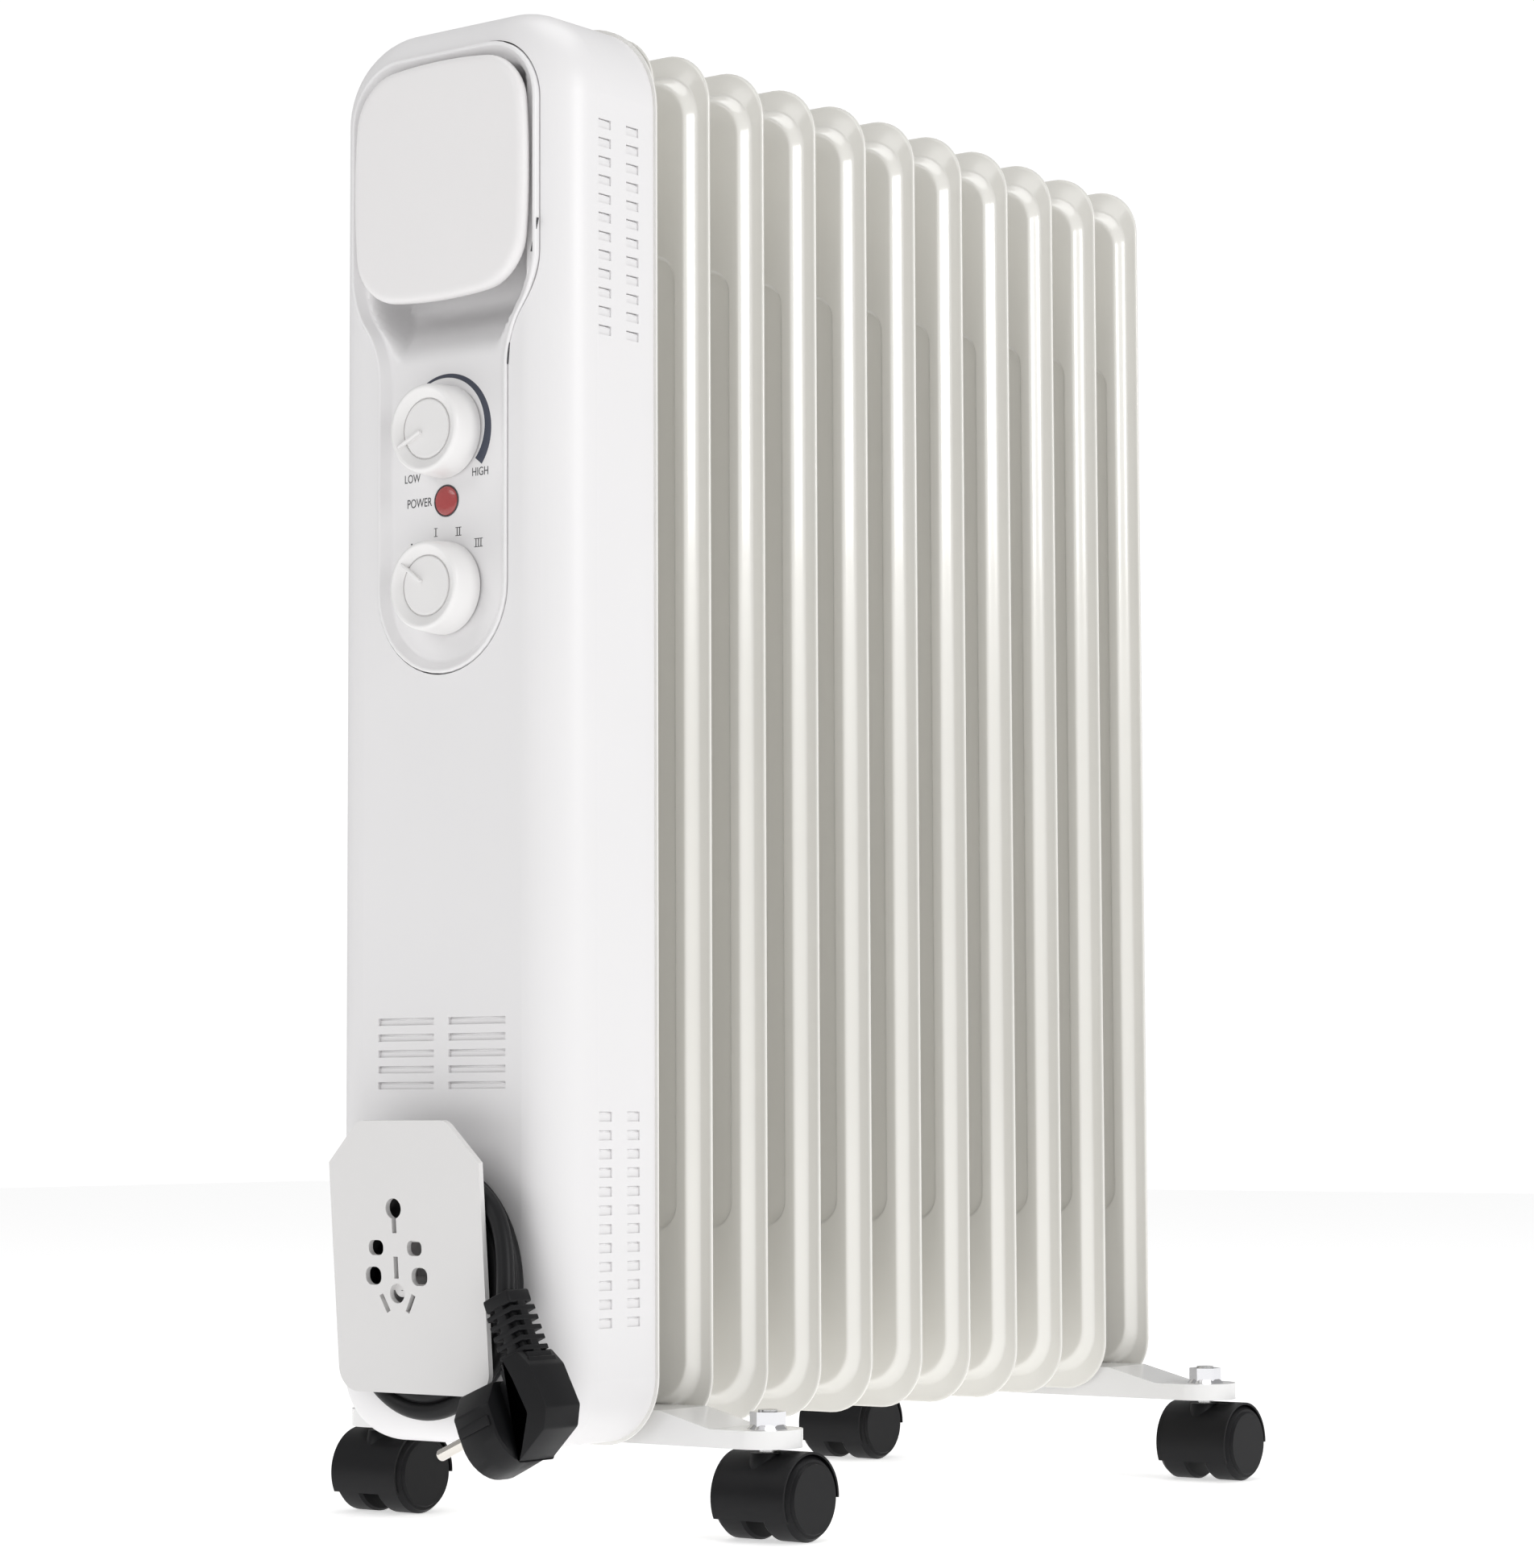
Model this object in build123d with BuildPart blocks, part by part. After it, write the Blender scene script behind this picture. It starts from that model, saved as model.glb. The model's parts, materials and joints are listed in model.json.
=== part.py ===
"""Oil filled radiator heater on four twin-wheel casters.

X runs along the stack of fins and the controls face -X. Y runs across the
heater and Z is up. The origin is on the floor, under the middle of the
heater's box without its lead. All sizes are in millimetres.
"""
from build123d import *
from math import atan, cos, degrees, pi, radians, sin, tan
import os

os.makedirs("parts", exist_ok=True)

# ---------------------------------------------------------------- driving sizes
FIN_COUNT = 11
FIN_PITCH = 38.0
FIN_X = -151.1              # middle plane of the first fin
FIN_HALF_WIDTH = 62.5
FIN_BOTTOM = 41.5
FIN_TOP = 630.5
FIN_CORNER = 23.0
SHEET = 0.7                 # one pressed sheet
CHANNEL = 6.5               # the channels stand this far from the middle plane
HUB_Z = (85.0, 590.0)       # the lower and the upper header
HUB_RADIUS = 19.0
HUB_WALL = 1.5

COVER_BACK = FIN_X - 4.0
COVER_DEPTH = 59.0
COVER_FRONT = COVER_BACK - COVER_DEPTH
COVER_HALF_WIDTH = 65.5
COVER_BOTTOM = 38.5
COVER_TOP = 634.0
COVER_LOW_CORNER = 28.0
COVER_HIGH_CORNER = 38.0
COVER_FRONT_ROUND = 22.0
COVER_WALL = 2.4
BOSS_PLACES = [(side * 57.0, z) for side in (-1, 1) for z in (110.0, 560.0)]
FRONT_VENTS = [(y, 214.0 - 6.6 * row) for row in range(5) for y in (-19.5, 19.5)]
SIDE_LOUVRES = [
    (COVER_BACK - behind, first - pitch * row)
    for first, pitch in ((585.3, 7.86), (175.0, 7.6))
    for row in range(12)
    for behind in (32.0, 14.0)
]

RIM_X = COVER_FRONT - 1.0   # front of the bezel's lip
FLOOR_X = COVER_FRONT + 2.7 # face that the dials stand on
FLOOR_BACK = FLOOR_X + 2.0
POCKET_X = COVER_FRONT + 21.0
BEZEL_GAP = 0.3
LIP_INSET = 2.2             # width of the bezel's flat lip
FLOOR_INSET = 5.6           # the floor starts this far inside the outline
THERMOSTAT_Z = 457.8
SELECTOR_Z = 392.2
LENS_Z = 429.0
LENS_RADIUS = 6.2
KNOB_RADIUS = 19.5
SPINDLE_RADIUS = 3.0
RUNNING = 0.05              # radial clearance of a turning fit

PLATE_LOW = 61.0
PLATE_HIGH = 171.7
PLATE_HALF_WIDTH = 41.0
PLATE_THICKNESS = 2.5
PLATE_LEAN = degrees(atan(6.0 / 78.0))
PLATE_MID_Z = (PLATE_LOW + PLATE_HIGH) / 2
PLATE_MID_X = COVER_FRONT - 20.2
PARKING_Y = 6.5             # middle of the plug-parking holes

CORD_RADIUS = 3.6
COIL_MID_Z = 104.0
COIL_BACK = COVER_FRONT - 0.1
COIL_DEPTH = 13.2

PLUG_TILT = 24.0            # the pins point this far below the horizontal
PLUG_FACE = (COVER_FRONT - 21.0, -44.5, 46.0)
PLUG_RADIUS = 18.5
BOOT_BACK = 31.0            # the lead enters this far behind the face
BOOT_TIP = 48.0
PIN_RADIUS = 2.4
PIN_LENGTH = 19.0
PIN_ROOT_RADIUS = 2.1       # the part of a pin held in the body
PIN_ROOT_LENGTH = 10.0
PIN_SPACING = 19.0

FOOT_X = (FIN_X + FIN_PITCH / 2, FIN_X + (FIN_COUNT - 1.5) * FIN_PITCH)
FOOT_HALF_LENGTH = 120.0
FOOT_HALF_WIDTH = 16.0
FOOT_BOTTOM = 38.0
FOOT_ARM_TOP = 45.5
FOOT_MID_TOP = 52.0
FOOT_SHEET = 1.6
STEM_Y = 106.0
UBOLT_RADIUS = 2.5

WHEEL_RADIUS = 17.5
WHEEL_INNER = 4.6           # from the caster's middle plane
WHEEL_OUTER = 20.6
HOOD_GAP = 0.6
HOOD_THICKNESS = 1.0
TRAIL = 4.5                 # the axle stands behind the stem
AXLE_RADIUS = 2.0
PIVOT_RADIUS = 3.75


def save(part, name):
    """Label a finished piece and write its STEP file."""
    part.label = name
    export_step(part, f"parts/{name}.step")


def panel(x, half_width, low, high, low_corner, high_corner):
    """An upright rounded outline in the plane at x."""
    with BuildSketch(Plane.YZ.offset(x)) as sketch:
        with Locations((0, (low + high) / 2)):
            Rectangle(2 * half_width, high - low)
        fillet(sketch.vertices().group_by(Axis.Y)[0], low_corner)
        fillet(sketch.vertices().group_by(Axis.Y)[-1], high_corner)
    return sketch.sketch


# ---------------------------------------------------------------- oil fins
def channel_face(x, shrink):
    """Outline of the raised channels, smaller where they stand further out."""
    return panel(x, 55.5 - shrink, 51.0 + shrink, 619.0 - shrink, 20.0 - shrink, 20.0 - shrink)


def recess(x, grow):
    """Outline of the shallow panel between the two headers."""
    return panel(x, 47.6 + grow, 125.0 - grow, 542.0 + grow, 11.0 + grow, 11.0 + grow)


RECESS_DEPTH = 1.5
with BuildPart() as oil_space:
    for side in (-1, 1):
        inner = side * (CHANNEL - SHEET)
        loft(sections=[channel_face(0, SHEET), channel_face(inner, SHEET + 3.0)])
        extrude(recess(inner, SHEET), amount=-side * RECESS_DEPTH, mode=Mode.SUBTRACT)

with BuildPart() as fin_blank:
    extrude(panel(0, FIN_HALF_WIDTH, FIN_BOTTOM, FIN_TOP, FIN_CORNER, FIN_CORNER), amount=SHEET, both=True)
    for side in (-1, 1):
        loft(sections=[channel_face(side * SHEET, 0), channel_face(side * CHANNEL, 3.0)])
    for face in (fin_blank.faces().sort_by(Axis.X)[0], fin_blank.faces().sort_by(Axis.X)[-1]):
        fillet(face.edges(), 2.2)
    for side in (-1, 1):
        extrude(recess(side * CHANNEL, 0), amount=-side * RECESS_DEPTH, mode=Mode.SUBTRACT)
    add(oil_space.part, mode=Mode.SUBTRACT)
    for z in HUB_Z:
        with BuildSketch(Plane.YZ):
            with Locations((0, z)):
                Circle(HUB_RADIUS - HUB_WALL)
        extrude(amount=20, both=True, mode=Mode.SUBTRACT)

for number in range(FIN_COUNT):
    with BuildPart() as fin:
        with Locations((FIN_X + number * FIN_PITCH, 0, 0)):
            add(fin_blank.part)
    save(fin.part, f"fin_{number + 1:02d}")


# ---------------------------------------------------------------- headers
# Short collars join neighbouring fins at both headers.
with BuildPart() as hub_collars:
    for gap in range(FIN_COUNT - 1):
        with BuildSketch(Plane.YZ.offset(FIN_X + gap * FIN_PITCH + CHANNEL)):
            with Locations((0, HUB_Z[0]), (0, HUB_Z[1])):
                Circle(HUB_RADIUS)
                Circle(HUB_RADIUS - HUB_WALL, mode=Mode.SUBTRACT)
        extrude(amount=FIN_PITCH - 2 * CHANNEL)
save(hub_collars.part, "hub_collars")

LAST_FIN_X = FIN_X + (FIN_COUNT - 1) * FIN_PITCH
CAP = 2.5
CAP_PLACES = [
    (LAST_FIN_X + CHANNEL, HUB_Z[0]),
    (LAST_FIN_X + CHANNEL, HUB_Z[1]),
    (FIN_X - CHANNEL - CAP, HUB_Z[1]),
]
with BuildPart() as hub_end_caps:
    for x, z in CAP_PLACES:
        with BuildSketch(Plane.YZ.offset(x)):
            with Locations((0, z)):
                Circle(HUB_RADIUS)
        extrude(amount=CAP)
save(hub_end_caps.part, "hub_end_caps")

# The element is one bent tube on a flange. It lies in the lower header.
ELEMENT_TUBE = 4.0
ELEMENT_SPREAD = 8.0
ELEMENT_END = FIN_X + 8.5 * FIN_PITCH
ELEMENT_FACE = FIN_X - CHANNEL
with BuildPart() as heating_element:
    with BuildSketch(Plane.YZ.offset(ELEMENT_FACE)):
        with Locations((0, HUB_Z[0])):
            Circle(24.0)
    extrude(amount=-5.0)
    with BuildLine(Plane.XY.offset(HUB_Z[0])):
        near = Line((ELEMENT_FACE - 20, ELEMENT_SPREAD), (ELEMENT_END, ELEMENT_SPREAD))
        bend = TangentArc(near @ 1, (ELEMENT_END, -ELEMENT_SPREAD), tangent=near % 1)
        Line(bend @ 1, (ELEMENT_FACE - 20, -ELEMENT_SPREAD))
    with BuildSketch(Plane.YZ.offset(ELEMENT_FACE - 20)):
        with Locations((ELEMENT_SPREAD, HUB_Z[0])):
            Circle(ELEMENT_TUBE)
    sweep()
save(heating_element.part, "heating_element")


# ---------------------------------------------------------------- control housing
def keyhole(x, inset):
    """Outline of the control bezel: a wide head, a curved neck and a round foot."""
    half = 52.0 - inset
    neck = 36.2 - inset
    top = 619.5 - inset
    corner = 27.0 - inset
    with BuildSketch(Plane.YZ.offset(x)) as sketch:
        with BuildLine():
            Line((0, top), (half - corner, top))
            TangentArc((half - corner, top), (half, top - corner), tangent=(1, 0))
            Line((half, top - corner), (half, 528.0))
            upper = TangentArc((half, 528.0), ((half + neck) / 2, 505.5), tangent=(0, -1))
            TangentArc(upper @ 1, (neck, 483.0), tangent=upper % 1)
            Line((neck, 483.0), (neck, SELECTOR_Z))
            TangentArc((neck, SELECTOR_Z), (0, SELECTOR_Z - neck), tangent=(0, -1))
            mirror(about=Plane.YZ)
        make_face()
    return sketch.sketch


with BuildPart() as cover_core:
    extrude(
        panel(
            COVER_FRONT + COVER_WALL,
            COVER_HALF_WIDTH - COVER_WALL,
            COVER_BOTTOM + COVER_WALL,
            COVER_TOP - COVER_WALL,
            COVER_LOW_CORNER - COVER_WALL,
            COVER_HIGH_CORNER - COVER_WALL,
        ),
        amount=COVER_DEPTH,
    )
    fillet(cover_core.faces().sort_by(Axis.X)[0].edges(), COVER_FRONT_ROUND - COVER_WALL)

SLIT = 0.9
with BuildPart() as control_cover:
    extrude(
        panel(COVER_FRONT, COVER_HALF_WIDTH, COVER_BOTTOM, COVER_TOP, COVER_LOW_CORNER, COVER_HIGH_CORNER),
        amount=COVER_DEPTH,
    )
    fillet(control_cover.faces().sort_by(Axis.X)[0].edges(), COVER_FRONT_ROUND)
    add(cover_core.part, mode=Mode.SUBTRACT)
    # Screw bosses behind the four corners.
    for y, z in BOSS_PLACES:
        with BuildSketch(Plane.YZ.offset(COVER_FRONT + 12.0)):
            with Locations((y, z)):
                Circle(4.5)
                Circle(1.6, mode=Mode.SUBTRACT)
        extrude(amount=FIN_X - 10.0 - COVER_FRONT - 12.0)
    extrude(keyhole(COVER_FRONT - 2.0, 0), amount=12.0, mode=Mode.SUBTRACT)
    # Vent slots above the lead storage: a pressed pocket with a slit along its top.
    with Locations(*[(COVER_FRONT, y, z - 1.5) for y, z in FRONT_VENTS]):
        Box(2.8, 31.0, 3.0, mode=Mode.SUBTRACT)
    with Locations(*[(COVER_FRONT + COVER_WALL / 2, y, z - SLIT / 2) for y, z in FRONT_VENTS]):
        Box(COVER_WALL + 1.0, 31.0, SLIT, mode=Mode.SUBTRACT)
    # Side louvres: two columns of short pressed pockets in an upper and a lower group.
    for side in (-1, 1):
        with Locations(*[(x, side * COVER_HALF_WIDTH, z - 2.0) for x, z in SIDE_LOUVRES]):
            Box(8.0, 1.6, 4.0, mode=Mode.SUBTRACT)
        with Locations(*[(x, side * (COVER_HALF_WIDTH - 1.2), z - SLIT / 2) for x, z in SIDE_LOUVRES]):
            Box(8.0, 3.4, SLIT, mode=Mode.SUBTRACT)
    # Holes for the lead gland and the spool screws.
    with BuildSketch(Plane.YZ.offset(COVER_FRONT)):
        with Locations((23.5, 84.0)):
            Circle(5.0)
        with Locations((-12.0, COIL_MID_Z), (6.0, COIL_MID_Z)):
            Circle(2.0)
    extrude(amount=COVER_WALL, mode=Mode.SUBTRACT)
save(control_cover.part, "control_cover")

TRAY_BASE = FIN_X - 10.0
with BuildPart() as mounting_plate:
    extrude(panel(COVER_BACK, COVER_HALF_WIDTH + 1.3, 37.2, 635.3, 29.0, 39.0), amount=1.0)
    extrude(panel(TRAY_BASE, 62.6, 41.4, 631.1, 25.1, 35.1), amount=COVER_BACK - TRAY_BASE)
    extrude(panel(TRAY_BASE + 1.0, 61.6, 42.4, 630.1, 24.1, 34.1), amount=10.0, mode=Mode.SUBTRACT)
    with BuildSketch(Plane.YZ.offset(TRAY_BASE)):
        with Locations((0, HUB_Z[0])):
            Circle(26.0)
        with Locations(*BOSS_PLACES):
            Circle(1.9)
    extrude(amount=1.0, mode=Mode.SUBTRACT)
save(mounting_plate.part, "mounting_plate")

with BuildPart() as cover_screws:
    for y, z in BOSS_PLACES:
        with BuildSketch(Plane.YZ.offset(TRAY_BASE + 1.0)):
            with Locations((y, z)):
                Circle(3.4)
        extrude(amount=2.0)
        with BuildSketch(Plane.YZ.offset(TRAY_BASE + 1.0)):
            with Locations((y, z)):
                Circle(1.6)
        extrude(amount=-11.0)
save(cover_screws.part, "cover_screws")

SCOOP = [
    (RIM_X - 6.0, 487.0),
    (FLOOR_X, 489.0),
    (POCKET_X, 512.0),
    (POCKET_X, 606.0),
    (RIM_X - 6.0, 606.0),
]
with BuildPart() as control_bezel:
    extrude(keyhole(RIM_X, BEZEL_GAP), amount=FLOOR_BACK - RIM_X)
    # Flange behind the cover's front wall.
    with BuildSketch(Plane.YZ.offset(COVER_FRONT + COVER_WALL)):
        with Locations((0, 480.0)):
            RectangleRounded(83.0, 257.0, 6.0)
    extrude(amount=FLOOR_BACK - COVER_FRONT - COVER_WALL)
    # Box behind the finger scoop.
    with BuildSketch(Plane.YZ.offset(FLOOR_BACK - 1.0)):
        with Locations((0, 548.0)):
            RectangleRounded(84.0, 122.0, 10.0)
    extrude(amount=POCKET_X + 2.0 - FLOOR_BACK + 1.0)
    # The wall inside the lip slopes down to the floor.
    loft(sections=[keyhole(RIM_X, LIP_INSET), keyhole(FLOOR_X, FLOOR_INSET)], mode=Mode.SUBTRACT)
    with BuildSketch(Plane.XZ):
        with BuildLine():
            Polyline(*SCOOP, close=True)
        make_face()
    extrude(amount=38.0, both=True, mode=Mode.SUBTRACT)
    with BuildSketch(Plane.YZ.offset(FLOOR_X)):
        with Locations((0, THERMOSTAT_Z), (0, SELECTOR_Z)):
            Circle(4.5)
        with Locations((0, LENS_Z)):
            Circle(LENS_RADIUS)
    extrude(amount=2.0, mode=Mode.SUBTRACT)
save(control_bezel.part, "control_bezel")


def squircle(x, inset):
    """Outline of the handle plate: four slightly bowed sides with soft corners."""
    half_y = 46.2 - inset
    half_z = 49.4 - inset
    bow = 1.5
    with BuildSketch(Plane.YZ.offset(x)) as sketch:
        with BuildLine():
            for a, b, middle in (
                ((-half_y, -half_z), (half_y, -half_z), (0, -half_z - bow)),
                ((half_y, -half_z), (half_y, half_z), (half_y + bow, 0)),
                ((half_y, half_z), (-half_y, half_z), (0, half_z + bow)),
                ((-half_y, half_z), (-half_y, -half_z), (-half_y - bow, 0)),
            ):
                lift = 563.7
                ThreePointArc((a[0], a[1] + lift), (middle[0], middle[1] + lift), (b[0], b[1] + lift))
        make_face()
        fillet(sketch.vertices(), 22.0 - inset)
    return sketch.sketch


with BuildPart() as handle_plate:
    extrude(squircle(FLOOR_X - 2.0, 0), amount=-5.2)
    fillet(handle_plate.faces().sort_by(Axis.X)[0].edges(), 2.4)
    extrude(squircle(FLOOR_X, 2.0), amount=-2.0)
save(handle_plate.part, "handle_plate")

# Posts that carry the plate from the back of the scoop.
with BuildPart() as handle_posts:
    with BuildSketch(Plane.YZ.offset(FLOOR_X)):
        with Locations((-24.0, 592.0), (24.0, 592.0)):
            Circle(5.0)
    extrude(amount=POCKET_X - FLOOR_X)
save(handle_posts.part, "handle_posts")


# ---------------------------------------------------------------- dials
def knob(z, pointer_angle):
    """A knob turned about X at height z, with its pointer ridge at an angle from +Y."""
    base = FLOOR_X - 0.6
    front = FLOOR_X - 15.0
    with BuildPart() as body:
        with BuildSketch(Plane.XZ):
            with BuildLine():
                Polyline(
                    (base, z),
                    (base, z + KNOB_RADIUS),
                    (front, z + 18.2),
                    (front, z + 16.9),
                    (front + 2.6, z + 12.6),
                    (front + 2.6, z),
                    close=True,
                )
            make_face()
        revolve(axis=Axis((0, 0, z), (1, 0, 0)))
        # Hollow skirt round the spindle socket.
        with BuildSketch(Plane.YZ.offset(base)):
            with Locations((0, z)):
                Circle(17.3)
                Circle(6.0, mode=Mode.SUBTRACT)
        extrude(amount=-10.0, mode=Mode.SUBTRACT)
        with BuildSketch(Plane.YZ.offset(base)):
            with Locations((0, z)):
                Circle(SPINDLE_RADIUS)
        extrude(amount=-9.0, mode=Mode.SUBTRACT)
        with BuildSketch(Plane.YZ.offset(front + 3.0)):
            with Locations(Location((0, z), pointer_angle)):
                with Locations((9.4, 0)):
                    Rectangle(13.6, 1.4)
        extrude(amount=-2.7)
    return body.part


THERMOSTAT_REST = -45.0
SELECTOR_REST = 37.5
save(knob(THERMOSTAT_Z, THERMOSTAT_REST), "thermostat_knob")
save(knob(SELECTOR_Z, SELECTOR_REST), "selector_knob")


def spindle(z):
    """A spindle from inside the knob's socket into the switch behind the floor."""
    with BuildPart() as rod:
        with BuildSketch(Plane.YZ.offset(FLOOR_X - 9.6)):
            with Locations((0, z)):
                Circle(SPINDLE_RADIUS)
        extrude(amount=9.6 + 12.0)
    return rod.part


save(spindle(THERMOSTAT_Z), "thermostat_spindle")
save(spindle(SELECTOR_Z), "selector_spindle")


def switch_body(z, width, height, depth):
    """A switch case on the back of the floor, bored for its spindle."""
    with BuildPart() as case:
        with BuildSketch(Plane.YZ.offset(FLOOR_BACK)):
            with Locations((0, z)):
                RectangleRounded(width, height, 3.0)
        extrude(amount=depth)
        with BuildSketch(Plane.YZ.offset(FLOOR_BACK)):
            with Locations((0, z)):
                Circle(SPINDLE_RADIUS + RUNNING)
        extrude(amount=11.0, mode=Mode.SUBTRACT)
        # Terminal tabs.
        with Locations((FLOOR_BACK + depth + 3.5, -7.0, z), (FLOOR_BACK + depth + 3.5, 7.0, z)):
            Box(7.0, 0.8, 6.0)
    return case.part


save(switch_body(THERMOSTAT_Z, 32.0, 26.0, 16.0), "thermostat_body")
save(switch_body(SELECTOR_Z, 30.0, 28.0, 18.0), "selector_switch")

with BuildPart() as indicator_lens:
    with BuildSketch(Plane.YZ.offset(FLOOR_BACK + 1.0)):
        with Locations((0, LENS_Z)):
            Circle(LENS_RADIUS)
    extrude(amount=-2.8)
    fillet(indicator_lens.faces().sort_by(Axis.X)[0].edges(), 0.8)
save(indicator_lens.part, "indicator_lens")

with BuildPart() as indicator_lamp:
    with BuildSketch(Plane.YZ.offset(FLOOR_BACK + 1.0)):
        with Locations((0, LENS_Z)):
            Circle(3.6)
    extrude(amount=14.0)
save(indicator_lamp.part, "indicator_lamp")

# ---------------------------------------------------------------- inside the housing
BLOCK_Z = 230.0
with BuildPart() as terminal_block:
    with Locations((TRAY_BASE - 7.0, 0, BLOCK_Z)):
        Box(14.0, 42.0, 20.0)
    fillet(terminal_block.edges().filter_by(Axis.X), 2.0)
save(terminal_block.part, "terminal_block")

with BuildPart() as thermal_cutout:
    with BuildSketch(Plane.YZ.offset(TRAY_BASE)):
        with Locations((0, 145.0)):
            Circle(8.0)
    extrude(amount=-9.0)
save(thermal_cutout.part, "thermal_cutout")

WIRE_RADIUS = 1.4
WIRE_ROUTES = [
    [(TRAY_BASE - 5, 12, BLOCK_Z + 10), (TRAY_BASE - 5, 12, 330), (FLOOR_BACK + 22, 11, 400)],
    [(TRAY_BASE - 5, 0, BLOCK_Z - 10), (TRAY_BASE - 5, 0, 190), (TRAY_BASE - 4.5, 0, 153)],
    [
        (TRAY_BASE - 9, -14, BLOCK_Z - 10),
        (TRAY_BASE - 22, -14, 180),
        (ELEMENT_FACE - 18, -ELEMENT_SPREAD, 89),
    ],
]
with BuildPart() as wiring:
    for route in WIRE_ROUTES:
        with BuildLine() as wire:
            FilletPolyline(*route, radius=12.0)
        with BuildSketch(Plane(origin=wire.line @ 0, z_dir=wire.line % 0)):
            Circle(WIRE_RADIUS)
        sweep(path=wire.line)
save(wiring.part, "wiring")

# ---------------------------------------------------------------- lead storage
PLATE_FACE = Plane(
    origin=(PLATE_MID_X, 0, PLATE_MID_Z),
    x_dir=(0, 1, 0),
    z_dir=(cos(radians(PLATE_LEAN)), 0, sin(radians(PLATE_LEAN))),
)


def on_plate(z):
    """Height in the plate's own plane of a point at height z."""
    return (z - PLATE_MID_Z) / cos(radians(PLATE_LEAN))


with BuildPart() as cord_wrap_plate:
    with BuildSketch(PLATE_FACE) as plate_sketch:
        low = on_plate(PLATE_LOW)
        high = on_plate(PLATE_HIGH)
        with BuildLine():
            Polyline(
                (-PLATE_HALF_WIDTH, low),
                (PLATE_HALF_WIDTH, low),
                (PLATE_HALF_WIDTH, high - 17.0),
                (PLATE_HALF_WIDTH - 17.0, high),
                (17.0 - PLATE_HALF_WIDTH, high),
                (-PLATE_HALF_WIDTH, high - 17.0),
                close=True,
            )
        make_face()
        fillet(plate_sketch.vertices().group_by(Axis.Y)[0], 10.0)
        fillet(plate_sketch.vertices().group_by(Axis.Y)[-1], 6.0)
    extrude(amount=PLATE_THICKNESS)
    # Holes for parking plugs of several kinds.
    with BuildSketch(PLATE_FACE):
        with Locations((PARKING_Y, on_plate(136.0))):
            Circle(4.2)
        with Locations((PARKING_Y, on_plate(129.5))):
            Rectangle(2.4, 7.0)
        with Locations((PARKING_Y - 10.5, on_plate(120.0)), (PARKING_Y + 10.5, on_plate(120.0))):
            RectangleRounded(8.0, 6.2, 2.6)
        with Locations((PARKING_Y, on_plate(112.0))):
            Rectangle(2.4, 9.0)
        with Locations((PARKING_Y - 12.6, on_plate(108.5)), (PARKING_Y + 12.6, on_plate(108.5))):
            RectangleRounded(8.6, 7.4, 3.2)
        with Locations((PARKING_Y, on_plate(101.5))):
            Circle(4.0)
        with Locations(
            Location((PARKING_Y - 7.0, on_plate(97.5)), 28),
            Location((PARKING_Y + 7.0, on_plate(97.5)), -28),
        ):
            Rectangle(2.2, 8.0)
    extrude(amount=PLATE_THICKNESS, mode=Mode.SUBTRACT)
save(cord_wrap_plate.part, "cord_wrap_plate")

SPOOL_Y = -3.0
with BuildPart() as cord_wrap_spool:
    with BuildSketch(Plane.YZ.offset(COVER_FRONT)):
        with Locations((SPOOL_Y, COIL_MID_Z)):
            RectangleRounded(36.0, 42.0, 14.0)
            RectangleRounded(31.0, 37.0, 11.5, mode=Mode.SUBTRACT)
            for y in (-9.0, 9.0):
                with Locations((y, 0)):
                    Circle(4.0)
                    Circle(1.5, mode=Mode.SUBTRACT)
            Rectangle(31.0, 2.5)
    extrude(amount=-25.0)
    split(bisect_by=PLATE_FACE.offset(PLATE_THICKNESS), keep=Keep.TOP)
save(cord_wrap_spool.part, "cord_wrap_spool")

GLAND_Y = 23.5
BOOT_AXIS_X = COVER_FRONT - 5.3
with BuildPart() as cord_gland:
    with Locations((COVER_FRONT - 4.9, GLAND_Y, 84.0)):
        Box(9.8, 10.4, 14.0)
    fillet(cord_gland.edges().filter_by(Axis.X), 2.0)
    with BuildSketch(Plane.YZ.offset(COVER_FRONT)):
        with Locations((GLAND_Y, 84.0)):
            Circle(5.0)
    extrude(amount=COVER_WALL)
    with BuildSketch(Plane.YZ.offset(COVER_FRONT + COVER_WALL)):
        with Locations((GLAND_Y, 84.0)):
            Circle(8.0)
    extrude(amount=3.0)
    with Locations((BOOT_AXIS_X, GLAND_Y, 91.0)):
        Cone(5.0, 4.3, 22.0, align=(Align.CENTER, Align.CENTER, Align.MIN))
save(cord_gland.part, "cord_gland")

# The wound lead: an oval ring of turns, open where the gland lies.
with BuildPart() as cord_coil:
    with BuildSketch(Plane.YZ.offset(COIL_BACK)):
        with Locations((0, COIL_MID_Z)):
            Ellipse(49.6, 55.0)
            Ellipse(25.4, 27.4, mode=Mode.SUBTRACT)
        with Locations((GLAND_Y, 94.0)):
            Rectangle(11.0, 38.6, mode=Mode.SUBTRACT)
    extrude(amount=-COIL_DEPTH)
save(cord_coil.part, "cord_coil")


def plug_point(along, up, across=0.0):
    """A point of the plug: along its pins, up its boot and across."""
    tilt = radians(PLUG_TILT)
    return Vector(
        PLUG_FACE[0] + across,
        PLUG_FACE[1] + along * cos(tilt) + up * sin(tilt),
        PLUG_FACE[2] - along * sin(tilt) + up * cos(tilt),
    )


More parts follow.
